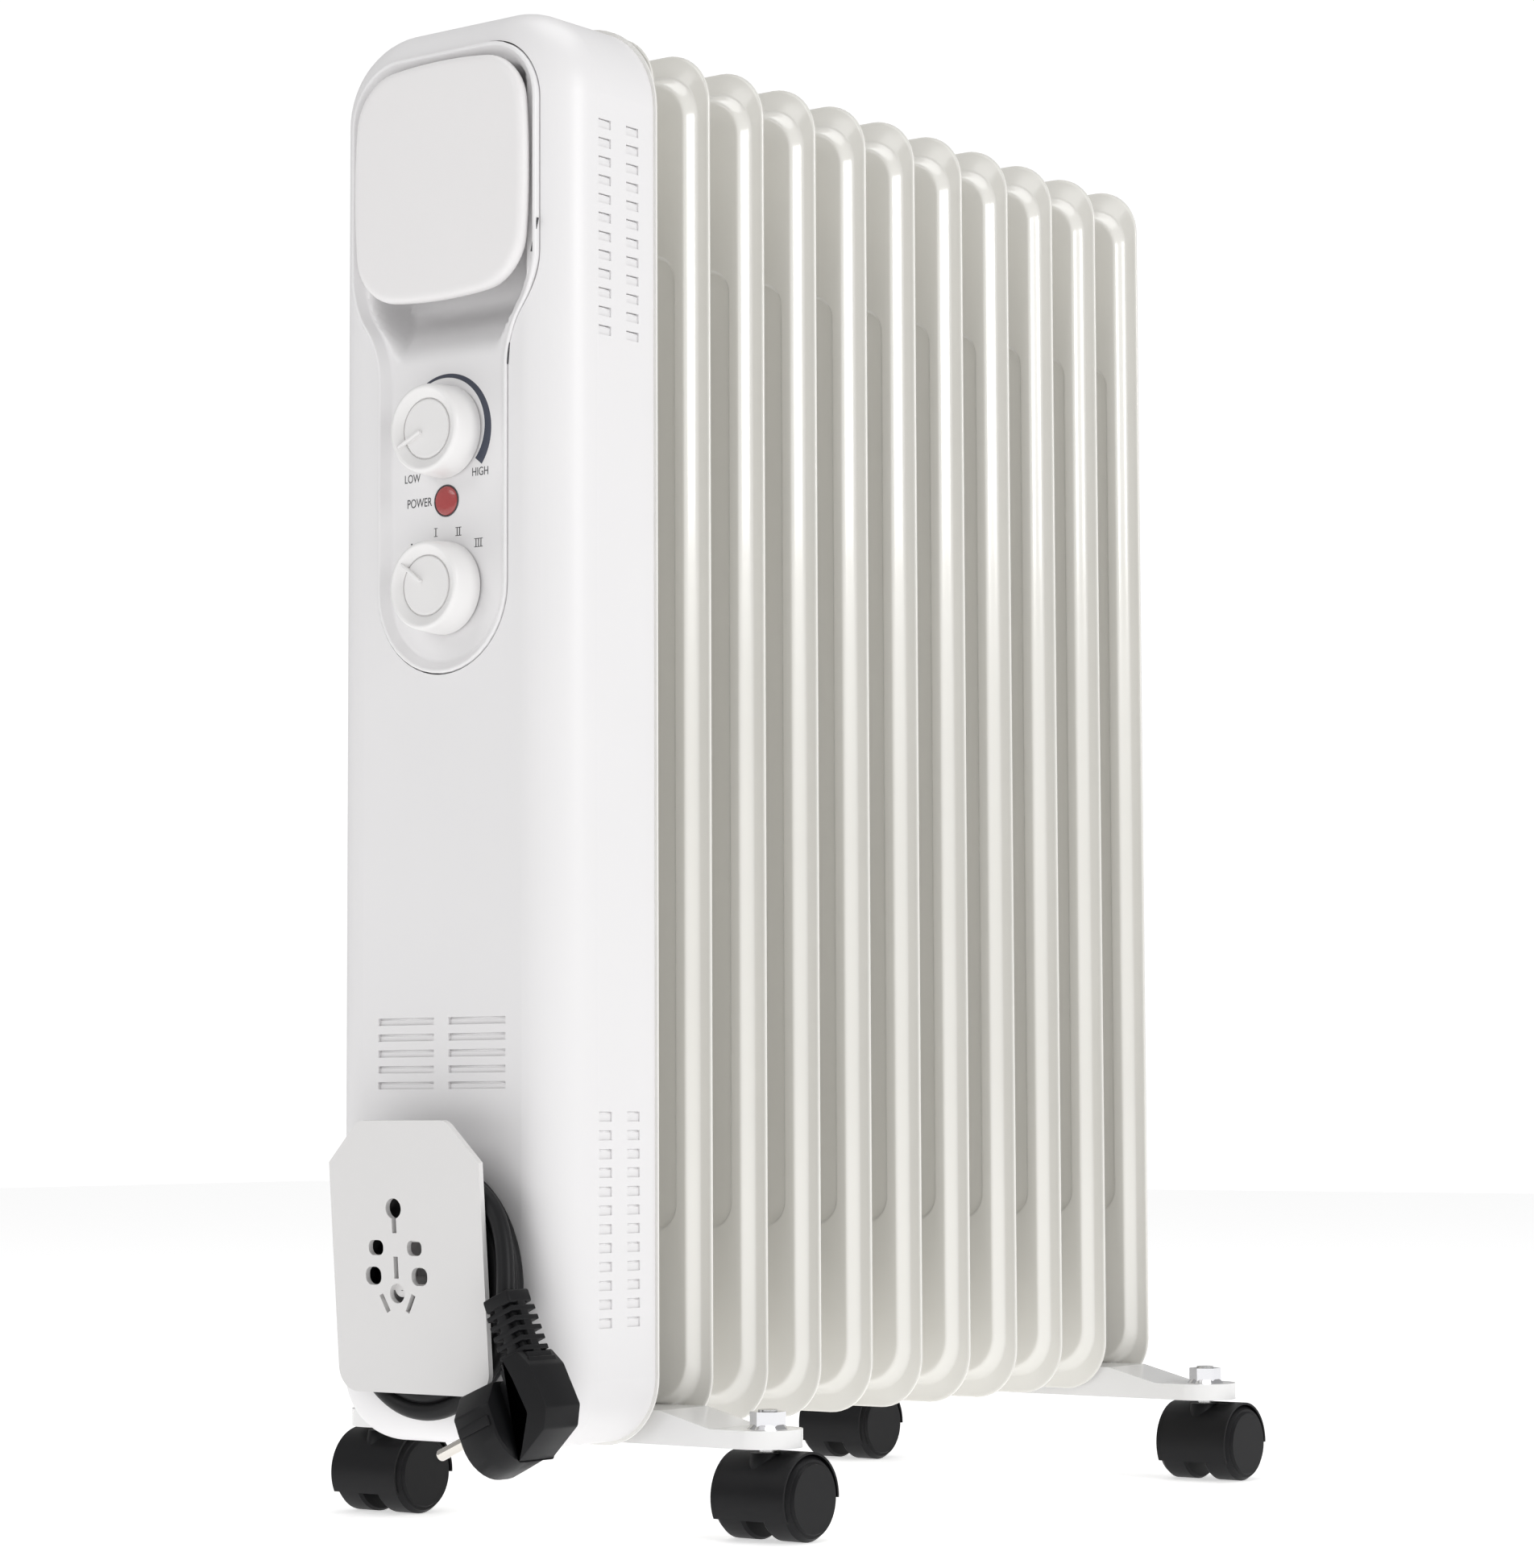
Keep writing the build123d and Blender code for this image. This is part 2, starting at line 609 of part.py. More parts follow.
PIN_DIRECTION = plug_point(1, 0) - plug_point(0, 0)
BOOT_DIRECTION = plug_point(0, 1) - plug_point(0, 0)
DISC_DEPTH = 19.0
GRIP_BACK = 39.0
with BuildPart() as plug_body:
    with BuildSketch(Plane(origin=plug_point(0, 0), x_dir=(1, 0, 0), z_dir=PIN_DIRECTION)):
        Circle(PLUG_RADIUS)
    extrude(amount=-DISC_DEPTH)
    # The grip behind the disc narrows to a blunt wedge.
    with BuildSketch(Plane(origin=plug_point(-DISC_DEPTH, 0), x_dir=(1, 0, 0), z_dir=PIN_DIRECTION)):
        with Locations((0, -3.0)):
            RectangleRounded(27.0, 30.0, 6.0)
    with BuildSketch(Plane(origin=plug_point(-GRIP_BACK, 0), x_dir=(1, 0, 0), z_dir=PIN_DIRECTION)):
        with Locations((0, -1.0)):
            RectangleRounded(14.0, 24.0, 5.0)
    loft()
    with BuildSketch(Plane(origin=plug_point(-BOOT_BACK, -4.0), x_dir=(1, 0, 0), z_dir=BOOT_DIRECTION)):
        Circle(8.0)
    with BuildSketch(Plane(origin=plug_point(-BOOT_BACK, BOOT_TIP), x_dir=(1, 0, 0), z_dir=BOOT_DIRECTION)):
        Circle(5.6)
    loft()
    # Sockets for the pins.
    with BuildSketch(Plane(origin=plug_point(0, 0), x_dir=(1, 0, 0), z_dir=PIN_DIRECTION)):
        with Locations((-PIN_SPACING / 2, 0), (PIN_SPACING / 2, 0)):
            Circle(PIN_ROOT_RADIUS)
    extrude(amount=-PIN_ROOT_LENGTH, mode=Mode.SUBTRACT)
save(plug_body.part, "plug_body")

with BuildPart() as plug_pins:
    with BuildSketch(Plane(origin=plug_point(-PIN_ROOT_LENGTH, 0), x_dir=(1, 0, 0), z_dir=PIN_DIRECTION)):
        with Locations((-PIN_SPACING / 2, 0), (PIN_SPACING / 2, 0)):
            Circle(PIN_ROOT_RADIUS)
    extrude(amount=PIN_ROOT_LENGTH)
    with BuildSketch(Plane(origin=plug_point(0, 0), x_dir=(1, 0, 0), z_dir=PIN_DIRECTION)):
        with Locations((-PIN_SPACING / 2, 0), (PIN_SPACING / 2, 0)):
            Circle(PIN_RADIUS)
    extrude(amount=PIN_LENGTH)
    fillet(plug_pins.faces().sort_by(Axis.Y)[-2:].edges(), 1.2)
save(plug_pins.part, "plug_pins")

# The free end of the lead, from the top of the coil over its turns and down into the boot.
BOOT_TOP = plug_point(-BOOT_BACK, BOOT_TIP)
CORD_ROUTE = [
    (COVER_FRONT - 12.0, 6.0, 141.0),
    (COVER_FRONT - 14.6, -15.0, 149.0),
    (COVER_FRONT - 14.6, -34.0, 144.5),
    (COVER_FRONT - 15.0, -48.0, 130.0),
    (COVER_FRONT - 19.8, -51.0, 113.0),
    (BOOT_TOP.X, BOOT_TOP.Y, BOOT_TOP.Z - 3.0),
]


def corner_radii(route):
    """The largest arcs that the straight runs of a route allow."""
    points = [Vector(*point) for point in route]
    radii = []
    for before, corner, after in zip(points, points[1:], points[2:]):
        arriving = corner - before
        leaving = after - corner
        half_turn = radians(arriving.get_angle(leaving)) / 2
        radii.append(0.45 * min(arriving.length, leaving.length) / tan(half_turn))
    return radii


CORD_RADII = corner_radii(CORD_ROUTE)
print("lead radii", [round(radius, 1) for radius in CORD_RADII])
with BuildPart() as power_cord:
    with BuildLine():
        cord_path = FilletPolyline(*CORD_ROUTE, radius=CORD_RADII)
    with BuildSketch(Plane(origin=cord_path @ 0, z_dir=cord_path % 0)):
        Circle(CORD_RADIUS)
    sweep(path=cord_path)
swept = pi * CORD_RADIUS**2 * cord_path.length
print("lead volume over section times length", round(power_cord.part.volume / swept, 4))
save(power_cord.part, "power_cord")


# ---------------------------------------------------------------- feet
def foot_solid(x, grow):
    """The outer form of a bracket, or with a negative grow the hollow inside it."""
    half = FOOT_HALF_LENGTH + grow
    low = FOOT_BOTTOM if grow == 0 else FOOT_BOTTOM - 5.0
    with BuildPart() as form:
        with BuildSketch(Plane.YZ.offset(x)):
            with BuildLine():
                Polyline(
                    (-half, low),
                    (-half, FOOT_ARM_TOP + grow),
                    (-88.0, FOOT_ARM_TOP + grow),
                    (-62.0, FOOT_MID_TOP + grow),
                    (62.0, FOOT_MID_TOP + grow),
                    (88.0, FOOT_ARM_TOP + grow),
                    (half, FOOT_ARM_TOP + grow),
                    (half, low),
                    close=True,
                )
            make_face()
        extrude(amount=FOOT_HALF_WIDTH + grow, both=True)
        with BuildSketch(Plane.XY.offset(low)):
            with Locations((x, 0)):
                SlotOverall(2 * half, 2 * (FOOT_HALF_WIDTH + grow), rotation=90)
        extrude(amount=40.0, mode=Mode.INTERSECT)
    return form.part


def foot(x):
    """A pressed channel with a saddle under the header and holes for stems and U-bolts."""
    with BuildPart() as bracket:
        add(foot_solid(x, 0))
        with Locations((x, 0, FOOT_MID_TOP)):
            Box(22.0, 34.0, 20.0, align=(Align.CENTER, Align.CENTER, Align.MIN))
        with Locations((x, 0, FOOT_MID_TOP)):
            Box(18.8, 34.0, 20.0, align=(Align.CENTER, Align.CENTER, Align.MIN), mode=Mode.SUBTRACT)
        with BuildSketch(Plane.YZ.offset(x)):
            with Locations((0, HUB_Z[0])):
                Circle(HUB_RADIUS)
        extrude(amount=20.0, both=True, mode=Mode.SUBTRACT)
        add(foot_solid(x, -FOOT_SHEET), mode=Mode.SUBTRACT)
        with Locations((x, -STEM_Y, FOOT_ARM_TOP), (x, STEM_Y, FOOT_ARM_TOP)):
            Hole(4.0, depth=4.0)
        leg = HUB_RADIUS + UBOLT_RADIUS
        with Locations((x, -leg, FOOT_MID_TOP), (x, leg, FOOT_MID_TOP)):
            Hole(UBOLT_RADIUS, depth=4.0)
    return bracket.part


save(foot(FOOT_X[0]), "foot_front")
save(foot(FOOT_X[1]), "foot_rear")

LEG = HUB_RADIUS + UBOLT_RADIUS
with BuildPart() as foot_u_bolts:
    for x in FOOT_X:
        with BuildLine(Plane.YZ.offset(x)) as bolt_line:
            rise = Line((LEG, 42.0), (LEG, HUB_Z[0]))
            over = TangentArc(rise @ 1, (-LEG, HUB_Z[0]), tangent=rise % 1)
            Line(over @ 1, (-LEG, 42.0))
        with BuildSketch(Plane(origin=(x, LEG, 42.0), z_dir=(0, 0, 1))):
            Circle(UBOLT_RADIUS)
        sweep(path=bolt_line.line)
save(foot_u_bolts.part, "foot_u_bolts")

WEB_UNDER = FOOT_MID_TOP - FOOT_SHEET
with BuildPart() as foot_wing_nuts:
    for x in FOOT_X:
        for y in (-LEG, LEG):
            with Locations((x, y, WEB_UNDER - 5.0)):
                Cylinder(4.6, 5.0, align=(Align.CENTER, Align.CENTER, Align.MIN))
                Box(20.0, 2.0, 4.5, align=(Align.CENTER, Align.CENTER, Align.MIN))
            with Locations((x, y, WEB_UNDER)):
                Hole(UBOLT_RADIUS, depth=6.0)
save(foot_wing_nuts.part, "foot_wing_nuts")

# ---------------------------------------------------------------- casters
STEMS = [(x, y) for x in FOOT_X for y in (-STEM_Y, STEM_Y)]
CASTER_NAMES = ["front_right", "front_left", "rear_right", "rear_left"]
HOOD_INNER = WHEEL_RADIUS + HOOD_GAP
HOOD_OUTER = HOOD_INNER + HOOD_THICKNESS
HOOD_HALF = 18.6            # half the hood's width
COWL_LOW = -8.6             # the cowl's front edge, from the axle's height
PIVOT_LOW = 20.0

with BuildPart() as caster_stems:
    for x, y in STEMS:
        with Locations((x, y, PIVOT_LOW)):
            Cylinder(PIVOT_RADIUS, 19.0, align=(Align.CENTER, Align.CENTER, Align.MIN))
        with Locations((x, y, 38.4)):
            Cylinder(5.5, FOOT_ARM_TOP - FOOT_SHEET - 38.4, align=(Align.CENTER, Align.CENTER, Align.MIN))
        with Locations((x, y, FOOT_ARM_TOP - FOOT_SHEET)):
            Cylinder(4.0, 9.4, align=(Align.CENTER, Align.CENTER, Align.MIN))
save(caster_stems.part, "caster_stems")

with BuildPart() as caster_nuts:
    for x, y in STEMS:
        with Locations((x, y, FOOT_ARM_TOP)):
            Cone(8.6, 6.8, 1.8, align=(Align.CENTER, Align.CENTER, Align.MIN))
        with BuildSketch(Plane.XY.offset(FOOT_ARM_TOP)):
            with Locations((x, y)):
                RegularPolygon(7.5, 6)
        extrude(amount=7.0)
        with Locations((x, y, FOOT_ARM_TOP + 7.0)):
            Hole(4.0, depth=7.0)
save(caster_nuts.part, "caster_nuts")


def caster_hood(x, y):
    """The yoke between the wheels, with its cowl over them and its pivot socket."""
    axle_x = x + TRAIL
    across = Plane(origin=(axle_x, y, WHEEL_RADIUS), x_dir=(1, 0, 0), z_dir=(0, -1, 0))
    with BuildPart() as hood:
        # Wedge-shaped boss in front of the pivot, cut back to the space the wheels turn in.
        with BuildSketch(Plane.XY.offset(HOOD_OUTER + WHEEL_RADIUS - 0.6)):
            with Locations((x - 1.0, y)):
                Circle(6.6)
        with BuildSketch(Plane.XY.offset(21.0)):
            with Locations((x - 11.5, y)):
                Circle(2.2)
        loft()
        with BuildSketch(across):
            Circle(HOOD_INNER)
        extrude(amount=HOOD_HALF, both=True, mode=Mode.SUBTRACT)
        # The cowl is open low at the front and from the axle down at the back.
        with BuildSketch(across):
            Circle(HOOD_OUTER)
            Circle(HOOD_INNER, mode=Mode.SUBTRACT)
            with BuildLine():
                Polyline(
                    (-30, COWL_LOW),
                    (0, COWL_LOW),
                    (0, -0.5),
                    (30, -0.5),
                    (30, -30),
                    (-30, -30),
                    close=True,
                )
            make_face(mode=Mode.SUBTRACT)
        extrude(amount=HOOD_HALF, both=True)
        # The web between the wheels.
        with BuildSketch(across):
            Circle(HOOD_INNER + 0.3)
            with BuildLine():
                Polyline((-30, COWL_LOW), (30, COWL_LOW), (30, -30), (-30, -30), close=True)
            make_face(mode=Mode.SUBTRACT)
        extrude(amount=WHEEL_INNER - 0.5, both=True)
        with Locations((x, y, 40.0)):
            Hole(PIVOT_RADIUS + RUNNING, depth=40.0 - PIVOT_LOW + 0.4)
        with BuildSketch(across):
            Circle(AXLE_RADIUS)
        extrude(amount=10.0, both=True, mode=Mode.SUBTRACT)
    return hood.part


def caster_axle(x, y):
    """The pin that both wheels of a caster turn on."""
    with BuildPart() as pin:
        with BuildSketch(Plane(origin=(x + TRAIL, y, WHEEL_RADIUS), z_dir=(0, 1, 0))):
            Circle(AXLE_RADIUS)
        extrude(amount=17.0, both=True)
    return pin.part


def caster_wheel(x, y, side):
    """One wheel: a rounded tread with an inset face, bored for its axle."""
    inner = y + side * WHEEL_INNER
    outer = y + side * WHEEL_OUTER
    edge = WHEEL_RADIUS
    with BuildPart() as wheel:
        with BuildSketch(Plane.XY.offset(WHEEL_RADIUS)):
            axle_x = x + TRAIL
            with BuildLine():
                Polyline(
                    (axle_x + AXLE_RADIUS + RUNNING, inner),
                    (axle_x + edge - 1.0, inner),
                    (axle_x + edge, inner + side * 1.5),
                    (axle_x + edge, outer - side * 3.5),
                    (axle_x + edge - 1.6, outer - side * 1.2),
                    (axle_x + edge - 2.6, outer - side * 1.2),
                    (axle_x + edge - 3.4, outer),
                    (axle_x, outer),
                    (axle_x, outer - side * 3.4),
                    (axle_x + AXLE_RADIUS + RUNNING, outer - side * 3.4),
                    close=True,
                )
            make_face()
        revolve(axis=Axis((axle_x, 0, WHEEL_RADIUS), (0, 1, 0)))
    return wheel.part


for (x, y), name in zip(STEMS, CASTER_NAMES):
    save(caster_hood(x, y), f"caster_hood_{name}")
    save(caster_axle(x, y), f"caster_axle_{name}")
    save(caster_wheel(x, y, -1), f"caster_wheel_{name}_a")
    save(caster_wheel(x, y, 1), f"caster_wheel_{name}_b")
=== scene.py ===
# %% [markdown]
# # An oil filled radiator in enamel, satin plastic and rubber
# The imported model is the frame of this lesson: its fins, housing, dials and casters are already the
# right size. Here they get their finishes, and the pressed, moulded and wound pieces are made again
# as smooth shapes. Everything is in metres, X runs along the fins and the controls face -X.

# %% Load the frame
import json
import math

import bmesh
import bpy
from mathutils import Matrix, Vector


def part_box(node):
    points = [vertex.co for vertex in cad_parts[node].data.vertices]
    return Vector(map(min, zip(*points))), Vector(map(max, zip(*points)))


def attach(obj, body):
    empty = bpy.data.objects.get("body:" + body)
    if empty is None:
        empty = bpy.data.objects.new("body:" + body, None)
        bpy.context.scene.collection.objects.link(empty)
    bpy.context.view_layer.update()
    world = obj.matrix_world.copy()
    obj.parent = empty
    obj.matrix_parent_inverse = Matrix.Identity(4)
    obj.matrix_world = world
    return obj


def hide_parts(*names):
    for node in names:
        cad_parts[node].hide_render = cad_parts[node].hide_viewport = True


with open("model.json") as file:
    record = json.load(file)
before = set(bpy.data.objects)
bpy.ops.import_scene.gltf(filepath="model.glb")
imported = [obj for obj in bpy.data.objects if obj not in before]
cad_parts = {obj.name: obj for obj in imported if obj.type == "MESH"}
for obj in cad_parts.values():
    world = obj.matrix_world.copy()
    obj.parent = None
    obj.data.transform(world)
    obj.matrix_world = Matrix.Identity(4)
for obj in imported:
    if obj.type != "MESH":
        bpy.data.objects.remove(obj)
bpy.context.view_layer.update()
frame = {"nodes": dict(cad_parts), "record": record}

MM = 0.001
nodes = frame["nodes"]
record = frame["record"]
slot_of = {part["node"]: part["material_slot"] for part in record["subparts"]}

cover_low, cover_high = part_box("control_cover")
COVER_FRONT = cover_low[0]
FIN_PITCH = 38 * MM
fin_low, fin_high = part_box("fin_01")
FIN_X = (fin_low[0] + fin_high[0]) / 2
fin_names = sorted(name for name in nodes if name.startswith("fin_"))
print("fins:", len(fin_names), "first at", round(FIN_X, 4))

# %% [markdown]
# ## The camera and the studio
# A long lens stands low and to the right of the controls and looks slightly up, so the housing's
# edges stay almost upright. The studio is a white floor under a white sky. The sky keeps the white
# surfaces soft, and three broad lights add a highlight down the shoulder of each fin and a little
# shape to the housing. The one on the right is the strongest, because it lights the fins' edges.

# %% The camera
EYE = Vector((-1.4877, -1.1424, 0.1765))
YAW, TILT, ROLL = math.radians(52.623), math.radians(4.474), math.radians(-0.221)
forward = Vector((math.sin(YAW) * math.cos(TILT), math.cos(YAW) * math.cos(TILT), math.sin(TILT)))
level_right = Vector((math.cos(YAW), -math.sin(YAW), 0))
level_up = level_right.cross(forward)
right = level_right * math.cos(ROLL) + level_up * math.sin(ROLL)
up = right.cross(forward)
camera = bpy.data.objects.new("camera", bpy.data.cameras.new("camera"))
camera.data.lens = 94.9
camera.data.sensor_width = 36
camera.data.clip_start = 0.05
camera.matrix_world = Matrix.Translation(EYE) @ Matrix((right, up, -forward)).transposed().to_4x4()
bpy.context.collection.objects.link(camera)
bpy.context.scene.camera = camera
print("camera at", [round(value, 3) for value in EYE], "lens", camera.data.lens)

# %% The floor, the sky and the lights
def studio_material(name, colour, roughness, glow):
    """A plain material for the studio's floor, with a little glow so that it stays white far away."""
    material = bpy.data.materials.new(name)
    material.use_nodes = True
    shader = material.node_tree.nodes["Principled BSDF"]
    shader.inputs["Base Color"].default_value = (*colour, 1)
    shader.inputs["Roughness"].default_value = roughness
    shader.inputs["Emission Color"].default_value = (1, 1, 1, 1)
    shader.inputs["Emission Strength"].default_value = glow
    return material


def studio_light(name, place, target, size, power):
    """A square soft light that looks at a target."""
    lamp = bpy.data.objects.new(name, bpy.data.lights.new(name, "AREA"))
    lamp.data.size = size
    lamp.data.energy = power
    direction = Vector(target) - Vector(place)
    lamp.matrix_world = Matrix.Translation(place) @ direction.to_track_quat("-Z", "Y").to_matrix().to_4x4()
    bpy.context.collection.objects.link(lamp)


FLOOR_HALF_SIZE = 6
FLOOR_WHITE, FLOOR_ROUGHNESS, FLOOR_GLOW = (0.9, 0.9, 0.9), 0.6, 0.57
SKY_STRENGTH, BACKDROP_STRENGTH = 0.42, 1.05
WHITE = (1, 1, 1, 1)

floor_mesh = bmesh.new()
bmesh.ops.create_grid(floor_mesh, x_segments=1, y_segments=1, size=FLOOR_HALF_SIZE)
floor_data = bpy.data.meshes.new("floor")
floor_mesh.to_mesh(floor_data)
floor_mesh.free()
floor = bpy.data.objects.new("floor", floor_data)
floor_data.materials.append(studio_material("studio_floor", FLOOR_WHITE, FLOOR_ROUGHNESS, FLOOR_GLOW))
bpy.context.collection.objects.link(floor)

MIDDLE = (0, 0, 0.3)
studio_light("key_left", (-2.6, 0.9, 1.9), MIDDLE, 1.3, 14)
studio_light("fill_right", (-0.3, -2.8, 1.3), MIDDLE, 0.9, 23)
studio_light("top", (0.2, -0.2, 2.6), MIDDLE, 1.5, 15)

# The sky lights the heater softly and shows plain white behind it.
world = bpy.data.worlds.new("studio")
world.use_nodes = True
sky_nodes = world.node_tree.nodes
sky_links = world.node_tree.links
sky = sky_nodes["Background"]
sky.inputs["Color"].default_value = WHITE
sky.inputs["Strength"].default_value = SKY_STRENGTH
backdrop = sky_nodes.new("ShaderNodeBackground")
backdrop.inputs["Color"].default_value = WHITE
backdrop.inputs["Strength"].default_value = BACKDROP_STRENGTH
seen = sky_nodes.new("ShaderNodeLightPath")
either = sky_nodes.new("ShaderNodeMixShader")
sky_links.new(seen.outputs["Is Camera Ray"], either.inputs["Fac"])
sky_links.new(sky.outputs["Background"], either.inputs[1])
sky_links.new(backdrop.outputs["Background"], either.inputs[2])
sky_links.new(either.outputs["Shader"], sky_nodes["World Output"].inputs["Surface"])
bpy.context.scene.world = world
bpy.context.scene.view_settings.view_transform = "Standard"
print("lamps:", len(bpy.data.lights))

# %% [markdown]
# ## Finishes
# Every surface gets a small node group: a base colour with a faint cloudy variation, a roughness
# that wanders a little, and a bump at the scale of the real finish. Enamel is smooth with a slow
# orange peel; mouldings carry a fine spark-eroded grain; rubber and nylon are finer and darker.
# All patterns read Object coordinates, which are the heater's own metres.

# %% One function for every finish
CLOUD_SCALE, CLOUD_DETAIL = 14, 3
GRAIN_DETAIL = 2
COAT_ROUGHNESS = 0.08


def finish(
    name, colour, roughness, grain, grain_depth, cloud=0.02, metallic=0.0, coat=0.0, rough_swing=0.05, shine=0.5
):
    """A finish: colour with a faint cloud, wandering roughness and a fine bump of a given grain size."""
    material = bpy.data.materials.new(name)
    material.use_nodes = True
    tree = material.node_tree
    shader = tree.nodes["Principled BSDF"]
    shader.inputs["Metallic"].default_value = metallic
    shader.inputs["Specular IOR Level"].default_value = shine
    shader.inputs["Coat Weight"].default_value = coat
    shader.inputs["Coat Roughness"].default_value = COAT_ROUGHNESS
    place = tree.nodes.new("ShaderNodeTexCoord")

    slow = tree.nodes.new("ShaderNodeTexNoise")
    slow.inputs["Scale"].default_value = CLOUD_SCALE
    slow.inputs["Detail"].default_value = CLOUD_DETAIL
    tree.links.new(place.outputs["Object"], slow.inputs["Vector"])
    tint = tree.nodes.new("ShaderNodeMix")
    tint.data_type = "RGBA"
    tint.inputs["A"].default_value = (*[channel * (1 - cloud) for channel in colour], 1)
    tint.inputs["B"].default_value = (*[min(1, channel * (1 + cloud)) for channel in colour], 1)
    tree.links.new(slow.outputs["Fac"], tint.inputs["Factor"])
    tree.links.new(tint.outputs["Result"], shader.inputs["Base Color"])

    swing = tree.nodes.new("ShaderNodeMapRange")
    swing.inputs["To Min"].default_value = roughness - rough_swing
    swing.inputs["To Max"].default_value = roughness + rough_swing
    tree.links.new(slow.outputs["Fac"], swing.inputs["Value"])
    tree.links.new(swing.outputs["Result"], shader.inputs["Roughness"])

    fine = tree.nodes.new("ShaderNodeTexNoise")
    fine.inputs["Scale"].default_value = 1 / grain
    fine.inputs["Detail"].default_value = GRAIN_DETAIL
    tree.links.new(place.outputs["Object"], fine.inputs["Vector"])
    bump = tree.nodes.new("ShaderNodeBump")
    bump.inputs["Strength"].default_value = 1
    bump.inputs["Distance"].default_value = grain_depth
    tree.links.new(fine.outputs["Fac"], bump.inputs["Height"])
    tree.links.new(bump.outputs["Normal"], shader.inputs["Normal"])
    return material


finishes = {
    "fin_enamel": finish("fin_enamel", (0.835, 0.822, 0.78), 0.2, 9 * MM, 0.05 * MM, coat=0.4),
    "plate_enamel": finish("plate_enamel", (0.84, 0.83, 0.80), 0.22, 9 * MM, 0.05 * MM, coat=0.4),
    "foot_enamel": finish("foot_enamel", (0.87, 0.865, 0.86), 0.24, 8 * MM, 0.06 * MM, coat=0.4),
    "cover_plastic": finish("cover_plastic", (0.825, 0.815, 0.82), 0.38, 0.5 * MM, 0.012 * MM, cloud=0.01),
    "bezel_plastic": finish("bezel_plastic", (0.84, 0.83, 0.835), 0.33, 0.5 * MM, 0.01 * MM, cloud=0.01),
    "handle_plastic": finish("handle_plastic", (0.84, 0.825, 0.825), 0.5, 0.35 * MM, 0.03 * MM, cloud=0.01),
    "knob_plastic": finish("knob_plastic", (0.84, 0.83, 0.825), 0.32, 0.4 * MM, 0.01 * MM, cloud=0.01),
    "wrap_plastic": finish("wrap_plastic", (0.74, 0.73, 0.725), 0.42, 0.4 * MM, 0.02 * MM, cloud=0.01),
    "inner_plastic": finish("inner_plastic", (0.06, 0.06, 0.065), 0.5, 0.5 * MM, 0.02 * MM),
    "wire_sleeve": finish("wire_sleeve", (0.4, 0.03, 0.02), 0.45, 1 * MM, 0.02 * MM),
    "lamp_glass": finish("lamp_glass", (0.75, 0.35, 0.2), 0.1, 3 * MM, 0.01 * MM),
    "cord_rubber": finish("cord_rubber", (0.012, 0.012, 0.013), 0.42, 0.6 * MM, 0.03 * MM, cloud=0.2, shine=0.2),
    "plug_rubber": finish("plug_rubber", (0.008, 0.008, 0.009), 0.46, 0.3 * MM, 0.03 * MM, cloud=0.2, shine=0.2),
    "caster_nylon": finish("caster_nylon", (0.007, 0.007, 0.008), 0.42, 0.35 * MM, 0.02 * MM, cloud=0.2, shine=0.2),
    "wheel_nylon": finish("wheel_nylon", (0.008, 0.008, 0.009), 0.47, 0.3 * MM, 0.03 * MM, cloud=0.2, shine=0.2),
    "steel": finish("steel", (0.6, 0.6, 0.6), 0.25, 2 * MM, 0.02 * MM, metallic=1),
    "zinc": finish("zinc", (0.58, 0.58, 0.59), 0.3, 2 * MM, 0.03 * MM, metallic=1),
    "element_steel": finish("element_steel", (0.35, 0.34, 0.33), 0.4, 2 * MM, 0.04 * MM, metallic=1),
    "chrome_nut": finish("chrome_nut", (0.72, 0.72, 0.74), 0.1, 3 * MM, 0.02 * MM, metallic=1, rough_swing=0.03),
    "pin_metal": finish("pin_metal", (0.74, 0.71, 0.66), 0.18, 3 * MM, 0.02 * MM, metallic=1),
    "red_lens": finish("red_lens", (0.40, 0.06, 0.06), 0.14, 1.2 * MM, 0.12 * MM, cloud=0.15, coat=0.6),
    "dial_print": finish("dial_print", (0.05, 0.057, 0.085), 0.5, 1 * MM, 0.005 * MM, cloud=0.35),
    "wording_print": finish("wording_print", (0.06, 0.06, 0.065), 0.5, 1 * MM, 0.005 * MM, cloud=0.2),
}
for name, node in nodes.items():
    node.data.materials.clear()
    node.data.materials.append(finishes[slot_of[name]])
print("finishes:", len(finishes))

# %% [markdown]
# ## The tools of this lesson
# Most pieces here are pressed or moulded, so their section changes in small even steps. Three tools
# make them. An outline is a polygon whose corners are bevelled round, with its face dropped. A stack
# bridges one outline to the next and closes the ends. A lathe spins a section about an axis. Every
# new piece then rides on a body of the frame, is painted with the finish of its slot or with a finish
# named for it, and hides the CAD nodes it stands for.

# %% Outline, stack, lathe and keep
def upright(x):
    """Places an outline in the plane at x: across is Y and up is Z."""
    return Matrix(((0, 0, 1, x), (1, 0, 0, 0), (0, 1, 0, 0), (0, 0, 0, 1)))


def outline(shape, corners, place, segments=10):
    """A closed outline of (across, up, corner radius) in millimetres. Returns its edges."""
    known = set(shape.faces)
    points = []
    for across, up, radius in corners:
        points += bmesh.ops.create_vert(shape, co=place @ Vector((across * MM, up * MM, 0)))["vert"]
    shape.faces.new(points)
    for radius in sorted({corner[2] for corner in corners}):
        bmesh.ops.bevel(
            shape,
            geom=[point for point, corner in zip(points, corners) if corner[2] == radius],
            offset=radius * MM,
            offset_type="ABSOLUTE",
            segments=segments,
            profile=0.5,
            affect="VERTICES",
            material=-1,
        )
    face = (set(shape.faces) - known).pop()
    edges = list(face.edges)
    bmesh.ops.delete(shape, geom=[face], context="FACES_ONLY")
    return edges


